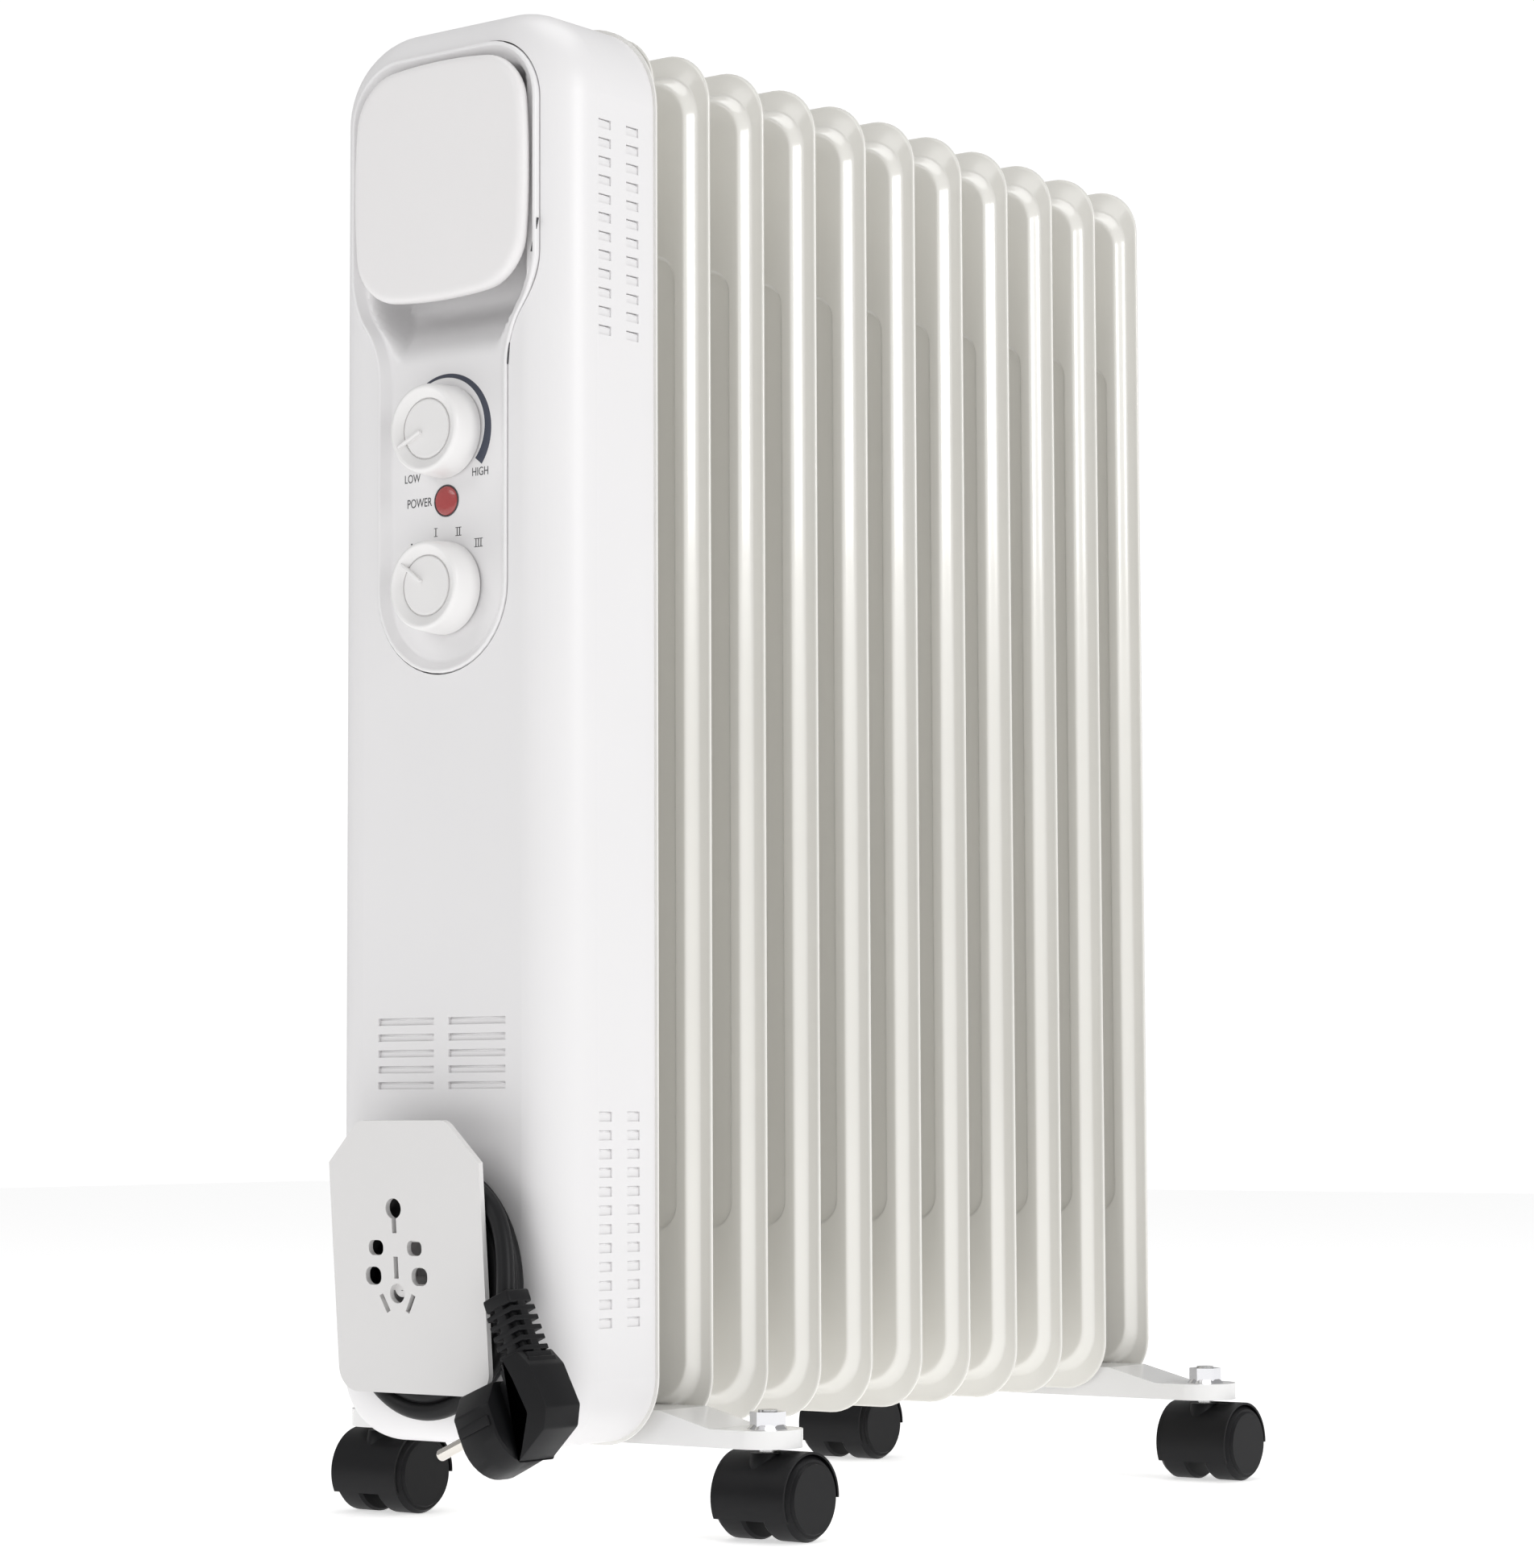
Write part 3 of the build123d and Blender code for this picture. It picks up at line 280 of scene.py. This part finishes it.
def box_corners(half_width, low, high, radius):
    """The four corners of an upright rounded rectangle."""
    return [
        (half_width, low, radius),
        (half_width, high, radius),
        (-half_width, high, radius),
        (-half_width, low, radius),
    ]


def stack(shape, outlines, close_first=True, close_last=True, normal=(1, 0, 0)):
    """Bridge a row of outlines and close its ends. Returns the closing faces.

    The outlines are drawn a metre apart along their normal while they are bridged, so that two in one
    plane can't be twisted onto each other.
    """
    rows = [list({point for edge in edges for point in edge.verts}) for edges in outlines]
    for number, row in enumerate(rows):
        bmesh.ops.translate(shape, verts=row, vec=Vector(normal) * number)
    for near, far in zip(outlines, outlines[1:]):
        bmesh.ops.bridge_loops(shape, edges=near + far)
    for number, row in enumerate(rows):
        bmesh.ops.translate(shape, verts=row, vec=Vector(normal) * -number)
    ends = []
    if close_first:
        ends += bmesh.ops.holes_fill(shape, edges=outlines[0], sides=0)["faces"]
    if close_last:
        ends += bmesh.ops.holes_fill(shape, edges=outlines[-1], sides=0)["faces"]
    return ends


def lathe(section, place, steps=64):
    """Spin a section of (radius, height) in millimetres about the Z axis of a place."""
    shape = bmesh.new()
    points = []
    for radius, height in section:
        points += bmesh.ops.create_vert(shape, co=(radius * MM, 0, height * MM))["vert"]
    edges = [shape.edges.new(pair) for pair in zip(points, points[1:])]
    bmesh.ops.spin(shape, geom=points + edges, cent=(0, 0, 0), axis=(0, 0, 1), angle=math.tau, steps=steps)
    bmesh.ops.remove_doubles(shape, verts=shape.verts, dist=1e-6)
    bmesh.ops.transform(shape, matrix=place, verts=shape.verts)
    return shape


def standing(point, along, side=(0, 0, 1)):
    """A place at a point whose Z axis runs along a direction."""
    along = Vector(along).normalized()
    across = Vector(side).cross(along).normalized()
    up = along.cross(across)
    return Matrix.Translation(point) @ Matrix((across, up, along)).transposed().to_4x4()


def join(shape, other):
    """Add a second bmesh to a first."""
    data = bpy.data.meshes.new("joined")
    other.to_mesh(data)
    shape.from_mesh(data)
    bpy.data.meshes.remove(data)
    other.free()


def keep(shape, name, slot_name, body="radiator", stands_for=(), smooth_angle=35, finish_name=None):
    """Turn a bmesh into a piece of the heater."""
    bmesh.ops.recalc_face_normals(shape, faces=shape.faces)
    data = bpy.data.meshes.new(name)
    shape.to_mesh(data)
    shape.free()
    piece = bpy.data.objects.new(name, data)
    bpy.context.collection.objects.link(piece)
    data.materials.append(finishes[finish_name or slot_name])
    data.shade_smooth()
    if smooth_angle:
        data.set_sharp_from_angle(angle=math.radians(smooth_angle))
    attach(piece, body)
    if stands_for:
        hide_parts(*stands_for)
    print(name, "has", len(data.polygons), "faces")
    return piece


def eased(value):
    """A smooth step from 0 to 1."""
    value = min(1.0, max(0.0, value))
    return value * value * (3 - 2 * value)


# %% [markdown]
# ## The oil fins
# A fin is two pressed steel sheets welded round their rims, with the oil in the raised channels
# between them. From the rim inwards each sheet runs flat, turns up in a soft flank to the channel's
# shoulder, stays flat, and steps down a little into the long panel between the two headers. One side
# is a stack of outlines from the middle plane outwards; a mirror gives the other side.

# %% One fin, copied along the headers
FLANK_STEPS = 9
# Each ring is a depth from the middle plane, a half width, a low and a high edge and a corner radius,
# all in millimetres.
FLANK_FOOT = (0.80, 57.3, 48.8, 622.0, 20.2)
FLANK_TOP = (6.50, 53.0, 54.0, 616.8, 17.2)
fin_rings = [
    (0.0, 62.5, 41.5, 630.5, 23.0),
    (0.45, 62.45, 41.55, 630.45, 22.9),
    (0.68, 62.15, 41.85, 630.15, 22.7),
    (0.75, 61.4, 42.6, 629.4, 22.3),
    FLANK_FOOT,
]
for step in range(1, FLANK_STEPS + 1):
    share = step / FLANK_STEPS
    depth = FLANK_FOOT[0] + (FLANK_TOP[0] - FLANK_FOOT[0]) * eased(share)
    fin_rings.append((depth, *(foot + (top - foot) * share for foot, top in zip(FLANK_FOOT[1:], FLANK_TOP[1:]))))
fin_rings += [
    (6.50, 52.2, 55.0, 615.8, 17.0),
    (6.50, 48.8, 124.0, 543.2, 12.2),
    (6.35, 48.2, 124.6, 542.6, 11.6),
    (5.80, 47.6, 125.2, 542.0, 11.0),
    (5.15, 47.0, 125.8, 541.4, 10.4),
    (5.00, 46.3, 126.5, 540.7, 9.7),
]
fin_side = bmesh.new()
stack(
    fin_side,
    [
        outline(fin_side, box_corners(half_width, low, high, corner), upright(depth * MM), segments=12)
        for depth, half_width, low, high, corner in fin_rings
    ],
    close_first=False,
)
bmesh.ops.mirror(fin_side, geom=fin_side.verts[:] + fin_side.edges[:] + fin_side.faces[:], axis="X", merge_dist=1e-6)
for number, name in enumerate(fin_names):
    fin = fin_side.copy()
    bmesh.ops.translate(fin, verts=fin.verts, vec=(FIN_X + number * FIN_PITCH, 0, 0))
    keep(fin, f"pressed_{name}", "fin_enamel", stands_for=[name], smooth_angle=50)
print("fin faces:", len(fin_side.faces))
fin_side.free()

# %% [markdown]
# ## The control bezel
# The bezel is one moulding with a rounded lip, a wall that slopes down to the floor the dials stand
# on, and a scoop for the fingers that falls away behind the handle plate. The lip and wall are a
# stack of keyhole outlines. The floor is cut into a fine net and the net is pushed back where the
# scoop lies, and the whole sheet is given its wall thickness last.

# %% The bezel
RIM_X = COVER_FRONT - 1.0 * MM
FLOOR_X = COVER_FRONT + 2.7 * MM
SCOOP_DEPTH = 17.5 * MM
BEZEL_WALL = 1.2 * MM
NET = 2 * MM
NET_LOW = 486 * MM
NET_ROWS, NET_HALF_COLUMNS = 62, 22


def keyhole(inset):
    """The bezel's outline: a wide head, a curved neck and a round foot."""
    half = 52.0 - inset
    neck = 36.2 - inset
    right_side = [(half, 619.5 - inset, 27.0 - inset), (half, 516.9, 11.4), (neck, 494.1, 11.4)]
    foot = [(neck, 356.0 + inset, 0.998 * neck), (-neck, 356.0 + inset, 0.998 * neck)]
    return right_side + foot + [(-across, up, radius) for across, up, radius in reversed(right_side)]


# Distance behind the lip's front and inset from the cover's opening, both in millimetres.
LIP_AND_WALL = [
    (6.0, 0.55),
    (0.7, 0.55),
    (0.25, 0.66),
    (0.0, 1.05),
    (0.0, 1.7),
    (0.2, 2.1),
    (0.7, 2.45),
    (3.0, 4.9),
    (3.45, 5.5),
    (3.7, 6.6),
]
bezel = bmesh.new()
stack(
    bezel,
    [outline(bezel, keyhole(inset), upright(RIM_X + behind * MM)) for behind, inset in LIP_AND_WALL],
    close_first=False,
)


def on_floor(face):
    """Whether a face is part of the flat floor."""
    return abs(face.calc_center_median().x - FLOOR_X) < 1e-6


def cut_floor(place, normal):
    """Cut the floor's faces by a plane."""
    faces = [face for face in bezel.faces if on_floor(face)]
    edges = {edge for face in faces for edge in face.edges}
    points = {point for face in faces for point in face.verts}
    bmesh.ops.bisect_plane(
        bezel, geom=faces + list(edges) + list(points), dist=1e-6, plane_co=place, plane_no=normal
    )


for number in range(NET_ROWS):
    cut_floor((0, 0, NET_LOW + number * NET), (0, 0, 1))
for number in range(-NET_HALF_COLUMNS, NET_HALF_COLUMNS + 1):
    cut_floor((0, number * NET, 0), (0, 1, 0))


def scoop_at(point):
    """How far the floor falls back at a point: it opens downwards, closes above and has soft sides."""
    up = point.z / MM
    opening = eased((up - 488) / 26)
    closing = 1 - eased((up - 600) / 10)
    half = 29.0 + 14.5 * eased((up - 490) / 30)
    side = eased((half - abs(point.y) / MM) / (3.0 + 4.0 * opening))
    return SCOOP_DEPTH * opening * closing * side


floor_points = {point for face in bezel.faces if on_floor(face) for point in face.verts}
for point in floor_points:
    point.co.x += scoop_at(point.co)
bmesh.ops.recalc_face_normals(bezel, faces=bezel.faces)
# The wall grows backwards, whichever way the faces came out.
facing_out = max(bezel.faces, key=lambda face: face.calc_area()).normal.x < 0
bmesh.ops.solidify(bezel, geom=bezel.faces[:], thickness=-BEZEL_WALL if facing_out else BEZEL_WALL)
print("bezel from", round(min(point.co.x for point in bezel.verts), 4), "rim at", round(RIM_X, 4))
keep(bezel, "control_surround", "bezel_plastic", stands_for=["control_bezel"], smooth_angle=50)

# %% [markdown]
# ## The print on the bezel
# A slate arc wraps the thermostat from cold to hot, and plain words and numerals are pad printed on
# the floor. The arc is a small rectangle spun part of a turn, with its inner edge drawn inwards as it
# goes. The words are text turned to mesh, and
# the numerals are bars with serifs, so both stay a few hundredths of a millimetre thick.

# %% The arc, the words and the numerals
PRINT = 0.05 * MM
PRINT_X = FLOOR_X - PRINT
THERMOSTAT = Vector((FLOOR_X, 0, 457.8 * MM))
SELECTOR = Vector((FLOOR_X, 0, 392.2 * MM))


def bar(shape, middle, size, turn=0.0, round_by=0.0):
    """A box with a middle and a size, turned about X."""
    place = Matrix.Translation(middle) @ Matrix.Rotation(turn, 4, "X") @ Matrix.Diagonal((*size, 1))
    made = bmesh.ops.create_cube(shape, size=1, matrix=place)["verts"]
    if round_by:
        edges = {edge for point in made for edge in point.link_edges}
        bmesh.ops.bevel(
            shape, geom=list(edges), offset=round_by, segments=3, profile=0.5, affect="EDGES", material=-1
        )


arc = bmesh.new()
ARC_OUTER = 24.6 * MM
ARC_FROM, ARC_SWEEP = math.radians(-30), math.radians(158)
ARC_STEPS = 80
ARC_THIN, ARC_SWELL = 0.9 * MM, 3.6 * MM
start = Matrix.Translation(THERMOSTAT) @ Matrix.Rotation(ARC_FROM, 4, "X")
first = start @ Matrix.Translation((-PRINT / 2, 0, ARC_OUTER - 0.5 * MM)) @ Matrix.Rotation(math.pi / 2, 4, "X")
bmesh.ops.create_grid(arc, x_segments=1, y_segments=1, size=0.5, matrix=first @ Matrix.Diagonal((PRINT, MM, 1, 1)))
bmesh.ops.spin(
    arc,
    geom=arc.faces[:] + arc.edges[:] + arc.verts[:],
    cent=THERMOSTAT,
    axis=(1, 0, 0),
    angle=ARC_SWEEP,
    steps=ARC_STEPS,
)
# The arc swells from a thin start to a broad end.
for point in arc.verts:
    from_middle = Matrix.Rotation(-ARC_FROM, 3, "X") @ (point.co - THERMOSTAT)
    if math.hypot(from_middle.y, from_middle.z) < ARC_OUTER - 0.5 * MM:
        share = (math.atan2(-from_middle.y, from_middle.z) + 0.01) % math.tau / ARC_SWEEP
        from_middle.x = 0
        inner = (ARC_OUTER - ARC_THIN - ARC_SWELL * min(share, 1.0)) / from_middle.length
        point.co.y = THERMOSTAT.y + (point.co.y - THERMOSTAT.y) * inner
        point.co.z = THERMOSTAT.z + (point.co.z - THERMOSTAT.z) * inner
keep(arc, "dial_arc", "bezel_plastic", finish_name="dial_print")

LETTER_NARROWING = 0.76
CAPITAL_SHARE = 0.7  # a capital's height over the font's size
words = bmesh.new()
for text, across, up, height in (("LOW", 19.2, 439.8, 3.5), ("HIGH", -18.6, 439.5, 3.5), ("POWER", 15.2, 429.2, 3.7)):
    letters = bpy.data.curves.new(text, "FONT")
    letters.body = text
    letters.size = height / CAPITAL_SHARE * MM
    letters.align_x = "CENTER"
    letters.align_y = "CENTER"
    letters.extrude = PRINT / 2
    letters_object = bpy.data.objects.new(text, letters)
    flat = bpy.data.meshes.new_from_object(letters_object)
    lettered = bmesh.new()
    lettered.from_mesh(flat)
    bpy.data.objects.remove(letters_object)
    bpy.data.meshes.remove(flat)
    reading = Matrix(((0, 0, -1, PRINT_X), (-LETTER_NARROWING, 0, 0, across * MM), (0, 1, 0, up * MM), (0, 0, 0, 1)))
    bmesh.ops.transform(lettered, matrix=reading, verts=lettered.verts)
    join(words, lettered)
STROKE_PITCH = 1.35
for strokes, across, up in ((1, 6.0, 416.2), (2, -6.6, 415.6), (3, -17.7, 410.0)):
    for stroke in range(strokes):
        offset = (stroke - (strokes - 1) / 2) * STROKE_PITCH
        bar(words, (PRINT_X, (across + offset) * MM, up * MM), (PRINT, 0.42 * MM, 3.6 * MM))
    for serif in (-1.7, 1.7):
        bar(words, (PRINT_X, across * MM, (up + serif) * MM), (PRINT, (0.6 + STROKE_PITCH * strokes) * MM, 0.25 * MM))
bar(words, (PRINT_X, 19.5 * MM, 412.3 * MM), (PRINT, 0.9 * MM, 0.6 * MM))
keep(words, "dial_wording", "bezel_plastic", finish_name="wording_print", smooth_angle=0)

# %% [markdown]
# ## The dials
# Both dials are the same moulding: a skirt that narrows a little, a rounded rim, a dished ring and a
# flat disc in its middle, with a thin pointer that crosses the dish. The body is one spun section,
# and the pointer is a slim bar with rounded edges. The lamp's red lens is a shallow dome in a thin
# dark collar, and both are spun too.

# %% The dials, the lens and its collar
DIAL_SECTION = [
    (0.0, 0.6),
    (19.2, 0.6),
    (19.5, 1.0),
    (18.75, 12.8),
    (18.5, 13.9),
    (18.0, 14.7),
    (17.3, 15.0),
    (16.7, 14.9),
    (16.3, 14.6),
    (13.4, 12.7),
    (13.0, 12.4),
    (12.85, 11.5),
    (12.4, 11.5),
    (12.3, 12.5),
    (12.0, 12.75),
    (11.4, 12.8),
    (0.0, 12.8),
]
for name, centre, pointer, body in (
    ("thermostat", THERMOSTAT, -25.0, "thermostat_dial"),
    ("selector", SELECTOR, 37.5, "selector_dial"),
):
    dial = lathe(DIAL_SECTION, standing(centre, (-1, 0, 0)), steps=96)
    turn = math.radians(pointer)
    toward = Vector((0, math.cos(turn), math.sin(turn)))
    middle = centre + Vector((-13.6 * MM, 0, 0)) + toward * 9.4 * MM
    bar(dial, middle, (2.3 * MM, 13.4 * MM, 1.3 * MM), turn=turn, round_by=0.4 * MM)
    keep(dial, f"{name}_grip", "knob_plastic", body=body, stands_for=[f"{name}_knob"], smooth_angle=40)

LENS_SECTION = [(0.0, -1.5), (6.15, -1.5), (6.15, 0.1), (6.0, 0.35), (5.3, 0.6), (3.0, 0.9), (0.0, 1.0)]
lamp_lens = lathe(LENS_SECTION, standing((FLOOR_X, 0, 429 * MM), (-1, 0, 0)))
keep(lamp_lens, "lamp_lens", "red_lens", stands_for=["indicator_lens"], smooth_angle=50)
COLLAR_SECTION = [(6.2, -0.5), (6.75, -0.5), (6.75, 0.25), (6.6, 0.4), (6.35, 0.4), (6.2, 0.25), (6.2, -0.5)]
lamp_collar = lathe(COLLAR_SECTION, standing((FLOOR_X, 0, 429 * MM), (-1, 0, 0)))
keep(lamp_collar, "lamp_collar", "inner_plastic")

# %% [markdown]
# ## Painted shade in the gap beside the bezel
# The bezel is pushed into the housing and doesn't quite meet it along the curve of its neck, where
# the shade inside the gap shows as two slivers. Each is painted as a thin black bar let into the housing's face.

# %% Two slivers of painted shade
# Thin black bars that paint the shade inside the gap.
gap_shade_bars = bmesh.new()
for (across, up), (to_across, to_up) in (((-48.7, 527.5), (-52.2, 541.2)), ((-35.9, 482.2), (-36.7, 491.1))):
    rise, run = to_up - up, to_across - across
    middle = (COVER_FRONT, (across + to_across) / 2 * MM, (up + to_up) / 2 * MM)
    bar(gap_shade_bars, middle, (0.5 * MM, 0.9 * MM, math.hypot(rise, run) * MM), turn=math.atan2(-run, rise), round_by=0.15 * MM)
keep(gap_shade_bars, "bezel_gap_painted_shade", "inner_plastic")

# %% [markdown]
# ## The handle plate
# The plate is a soft square with bowed sides and a rounded edge, standing a little proud of the
# bezel on a narrower neck. Four corner points and four points in the middles of its sides make the
# outline, and the wide bevel of a middle point is what bows the side.

# %% The handle plate
PLATE_MIDDLE = 563.7


def soft_square(inset):
    """The plate's outline."""
    half_across, half_up = 44.6 - inset, 46.9 - inset
    side, top = 48.9 - inset, 52.5 - inset
    round_by = 18.0 - 0.4 * inset
    right_half = [(half_across, -half_up, round_by), (side, 0.0, 25.0), (half_across, half_up, round_by)]
    whole = right_half + [(0.0, top, 25.0)]
    whole += [(-across, up, radius) for across, up, radius in reversed(right_half)] + [(0.0, -top, 25.0)]
    return [(across, up + PLATE_MIDDLE, radius) for across, up, radius in whole]


# Distance in front of the bezel's floor and inset, both in millimetres.
PLATE_EDGE = [
    (0.0, 3.0),
    (2.0, 3.0),
    (2.0, 0.9),
    (2.3, 0.3),
    (3.2, 0.0),
    (5.0, 0.1),
    (5.9, 0.45),
    (6.6, 1.1),
    (7.0, 2.0),
    (7.15, 3.0),
    (7.2, 4.2),
]
plate = bmesh.new()
stack(plate, [outline(plate, soft_square(inset), upright(FLOOR_X - ahead * MM)) for ahead, inset in PLATE_EDGE])
keep(plate, "handle_pad", "handle_plastic", stands_for=["handle_plate"], smooth_angle=50)

# %% [markdown]
# ## Behind the vents
# Each pressed vent has a slit along its top, and the slits show as fine lines rather than as open
# black gaps. Slim bars let into the slits, like the baffles of a real vent, give that look.

# %% The baffles
COVER_BACK = COVER_FRONT + 59 * MM
COVER_SIDE = cover_high[1]
baffles = bmesh.new()
for row in range(5):
    for across in (-19.5, 19.5):
        bar(baffles, (COVER_FRONT + 1.9 * MM, across * MM, (213.55 - 6.6 * row) * MM), (1 * MM, 30.8 * MM, 0.88 * MM))
for first, pitch, tall in ((585.3, 7.86, 0.5), (175.0, 7.6, 0.88)):
    for row in range(12):
        for behind in (32.0, 14.0):
            for side in (-1, 1):
                up = (first - pitch * row - 0.9 + tall / 2) * MM
                middle = (COVER_BACK - behind * MM, side * (COVER_SIDE - 1.6 * MM), up)
                bar(baffles, middle, (7.9 * MM, 1.6 * MM, tall * MM))
keep(baffles, "vent_baffles", "cover_plastic", smooth_angle=0)

# %% [markdown]
# ## The lead
# The lead leaves its gland behind the storage plate, is wound six times round the spool in two
# layers, crosses over its own turns at the top and comes down on the right into the plug's boot.
# One quadratic NURBS spline carries all of it, with points spaced evenly enough that no bend is
# sudden. The tightest are the arc out of the gland and the first turn round the spool.

# %% The lead's route
CORD_RADIUS = 3.6 * MM
COIL_MIDDLE = 104 * MM
GLAND_TIP = Vector((COVER_FRONT - 5.3 * MM, 23.5 * MM, 113 * MM))
# Half width, half height and depth in front of the housing of each turn's centre line.
TURNS = [
    (29.0, 31.0, 3.8),
    (36.4, 39.9, 3.8),
    (43.8, 48.8, 3.8),
    (45.8, 51.0, 9.6),
    (40.1, 44.3, 9.6),
    (32.7, 35.4, 9.6),
]
POINTS_PER_TURN = 16
START_ANGLE = 35.0
LAST_ANGLE = 2225.0
STEP_FROM = 0.66  # the share of a turn after which the lead moves over to the next
WINDING_SLACK = 1.012


def wound_point(angle):
    """A point of the winding. The step to the next turn is made in the last third of each turn."""
    travelled = (angle - START_ANGLE) / 360
    turn = min(int(travelled), len(TURNS) - 1)
    following = min(turn + 1, len(TURNS) - 1)
    share = eased((travelled - turn - STEP_FROM) / (1 - STEP_FROM))
    wide, high, deep = [a + (b - a) * share for a, b in zip(TURNS[turn], TURNS[following])]
    turned = math.radians(angle)
    return Vector((
        COVER_FRONT - deep * MM,
        wide * WINDING_SLACK * math.cos(turned) * MM,
        COIL_MIDDLE + high * WINDING_SLACK * math.sin(turned) * MM,
    ))


# From the gland the lead follows an arc of its own until it meets the first turn on the far side.
FIRST_BEND = 26.6 * MM
FIRST_TURN, LAST_TURN, TURN_STEP = 6, 206, 20
lead_points = [GLAND_TIP - Vector((0, 0, 4 * MM))]
lean = math.radians(FIRST_TURN)
bend_middle = lead_points[0] - FIRST_BEND * Vector((0, math.cos(lean), math.sin(lean)))
for turned in range(FIRST_TURN + TURN_STEP // 2, LAST_TURN, TURN_STEP):
    way = Vector((0, math.cos(math.radians(turned)), math.sin(math.radians(turned))))
    point = bend_middle + way * FIRST_BEND / math.cos(math.radians(TURN_STEP / 2))
    point.x = COVER_FRONT - (3.8 + 1.5 * (1 - eased(turned / 120))) * MM
    lead_points.append(point)
step = 360 / POINTS_PER_TURN
angle = START_ANGLE + 180
while angle < LAST_ANGLE:
    lead_points.append(wound_point(angle))
    angle += step
FREE_END = [
    (-10.8, 7.8, 140.6),
    (-12.6, -3.6, 145.2),
    (-14.0, -15.6, 147.6),
    (-14.6, -27.6, 146.6),
    (-14.8, -38.4, 141.0),
    (-15.6, -46.4, 130.6),
    (-18.4, -51.8, 113.0),
]
lead_points += [Vector((COVER_FRONT + x * MM, y * MM, z * MM)) for x, y, z in FREE_END]
PLUG_TILT = math.radians(24)
PLUG_FACE = Vector((COVER_FRONT - 21 * MM, -44.5 * MM, 46 * MM))
PIN_WAY = Vector((0, math.cos(PLUG_TILT), -math.sin(PLUG_TILT)))
BOOT_WAY = Vector((0, math.sin(PLUG_TILT), math.cos(PLUG_TILT)))
BOOT_BACK, BOOT_HEIGHT = 31 * MM, 48 * MM
BOOT_TOP = PLUG_FACE - PIN_WAY * BOOT_BACK + BOOT_WAY * BOOT_HEIGHT
lead_points.append(BOOT_TOP - Vector((0, 0, 3 * MM)))

# %% [markdown]
# ## The plug
# The right-angled plug is one soft black moulding: a body with chamfered shoulders and a round foot,
# a hollowed web behind it, a broad back to pull on, and a ribbed strain relief where the lead goes
# in. It is drawn with the pins along +Y and the lead along +Z, then turned into place.

# %% The plug's body and back
plug_place = Matrix.Translation(PLUG_FACE) @ Matrix.Rotation(-PLUG_TILT, 4, "X")


def across_pins(along):
    """Places an outline across the pins: across is X and up is the lead's way."""
    return Matrix(((1, 0, 0, 0), (0, 0, 1, along), (0, 1, 0, 0), (0, 0, 0, 1)))


def plug_front(inset):
    """The outline of the plug's body."""
    right_side = [(17.6 - inset, -18.3 + inset, 15.0), (17.6 - inset, 8.0, 0.8), (9.5, 17.2 - inset, 0.8)]
    return right_side + [(-across, up, radius) for across, up, radius in reversed(right_side)]


def soften(shape, width, least=0.6):
    """Round every edge that is sharper than an angle in radians."""
    sharp = [edge for edge in shape.edges if edge.is_manifold and edge.calc_face_angle() > least]
    bmesh.ops.bevel(shape, geom=sharp, offset=width, segments=2, profile=0.5, affect="EDGES", material=-1)


BODY_EDGE = [(0.0, 1.0), (-0.3, 0.4), (-1.0, 0.0), (-10.0, 0.2), (-18.2, 0.5), (-19.0, 1.2)]
moulding = bmesh.new()
stack(
    moulding,
    [outline(moulding, plug_front(inset), across_pins(along * MM), segments=8) for along, inset in BODY_EDGE],
    normal=(0, 1, 0),
)
# The key rib on each side of the body.
for side in (-1, 1):
    bar(moulding, (side * 17.7 * MM, -9.5 * MM, 1.5 * MM), (1.4 * MM, 17 * MM, 4 * MM), round_by=0.4 * MM)

BACK = [
    (-27.0, 22.5, 0.8),
    (-36.5, 22.5, 0.8),
    (-40.2, 15.0, 0.8),
    (-41.6, -3.0, 0.8),
    (-37.0, -10.5, 0.8),
    (-19.0, -17.6, 0.8),
    (-22.5, -13.5, 0.8),
    (-31.0, -1.5, 0.8),
    (-29.0, 14.0, 0.8),
]
WEB = [(-18.5, 15.5, 1.0), (-38.0, 15.5, 1.0), (-38.0, -6.0, 1.0), (-18.5, -15.5, 1.0)]
for corners, half in ((BACK, 10.5), (WEB, 6.2)):
    slab = bmesh.new()
    stack(slab, [outline(slab, corners, upright(side * half * MM), segments=3) for side in (-1, 1)])
    soften(slab, 0.6 * MM)
    join(moulding, slab)
for side in (-1, 1):
    for along in (-24.0, -26.6):
        bar(moulding, (side * 6.4 * MM, along * MM, 0), (0.6 * MM, 0.7 * MM, 19 * MM), turn=0.12)

# %% The strain relief
RELIEF_MIDDLE = -31.0
RIB_PITCH = 4.2


def relief(width, low, high, round_by=0.5, depth=None):
    """A block of the strain relief, centred on the lead."""
    middle = (0, RELIEF_MIDDLE * MM, (low + high) / 2 * MM)
    bar(moulding, middle, (width * MM, (depth or width) * MM, (high - low) * MM), round_by=round_by * MM)


relief(9.4, 14, 44)
relief(14.0, 14, 43, depth=4.6)
relief(4.6, 14, 43, depth=14.0)
relief(16.4, 13, 19)
relief(14.8, 17, 21.4)
relief(13.8, 42.4, 48, round_by=1.0)
for rib in range(5):
    relief(14.2, 22.2 + rib * RIB_PITCH, 24.3 + rib * RIB_PITCH, round_by=0.35)
bmesh.ops.transform(moulding, matrix=plug_place, verts=moulding.verts)
keep(moulding, "plug_moulding", "plug_rubber", stands_for=["plug_body"], smooth_angle=40)

# %% The lead itself
curve = bpy.data.curves.new("lead", "CURVE")
curve.dimensions = "3D"
curve.bevel_depth = CORD_RADIUS
curve.bevel_resolution = 5
curve.use_fill_caps = True
spline = curve.splines.new("NURBS")
spline.points.add(len(lead_points) - 1)
for point, place in zip(spline.points, lead_points):
    point.co = (*place, 1)
spline.order_u = 3
spline.use_endpoint_u = True
spline.resolution_u = 6
lead = bpy.data.objects.new("lead", curve)
bpy.context.collection.objects.link(lead)
curve.materials.append(finishes["cord_rubber"])
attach(lead, "radiator")
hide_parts("power_cord", "cord_coil")
print("lead control points:", len(lead_points))
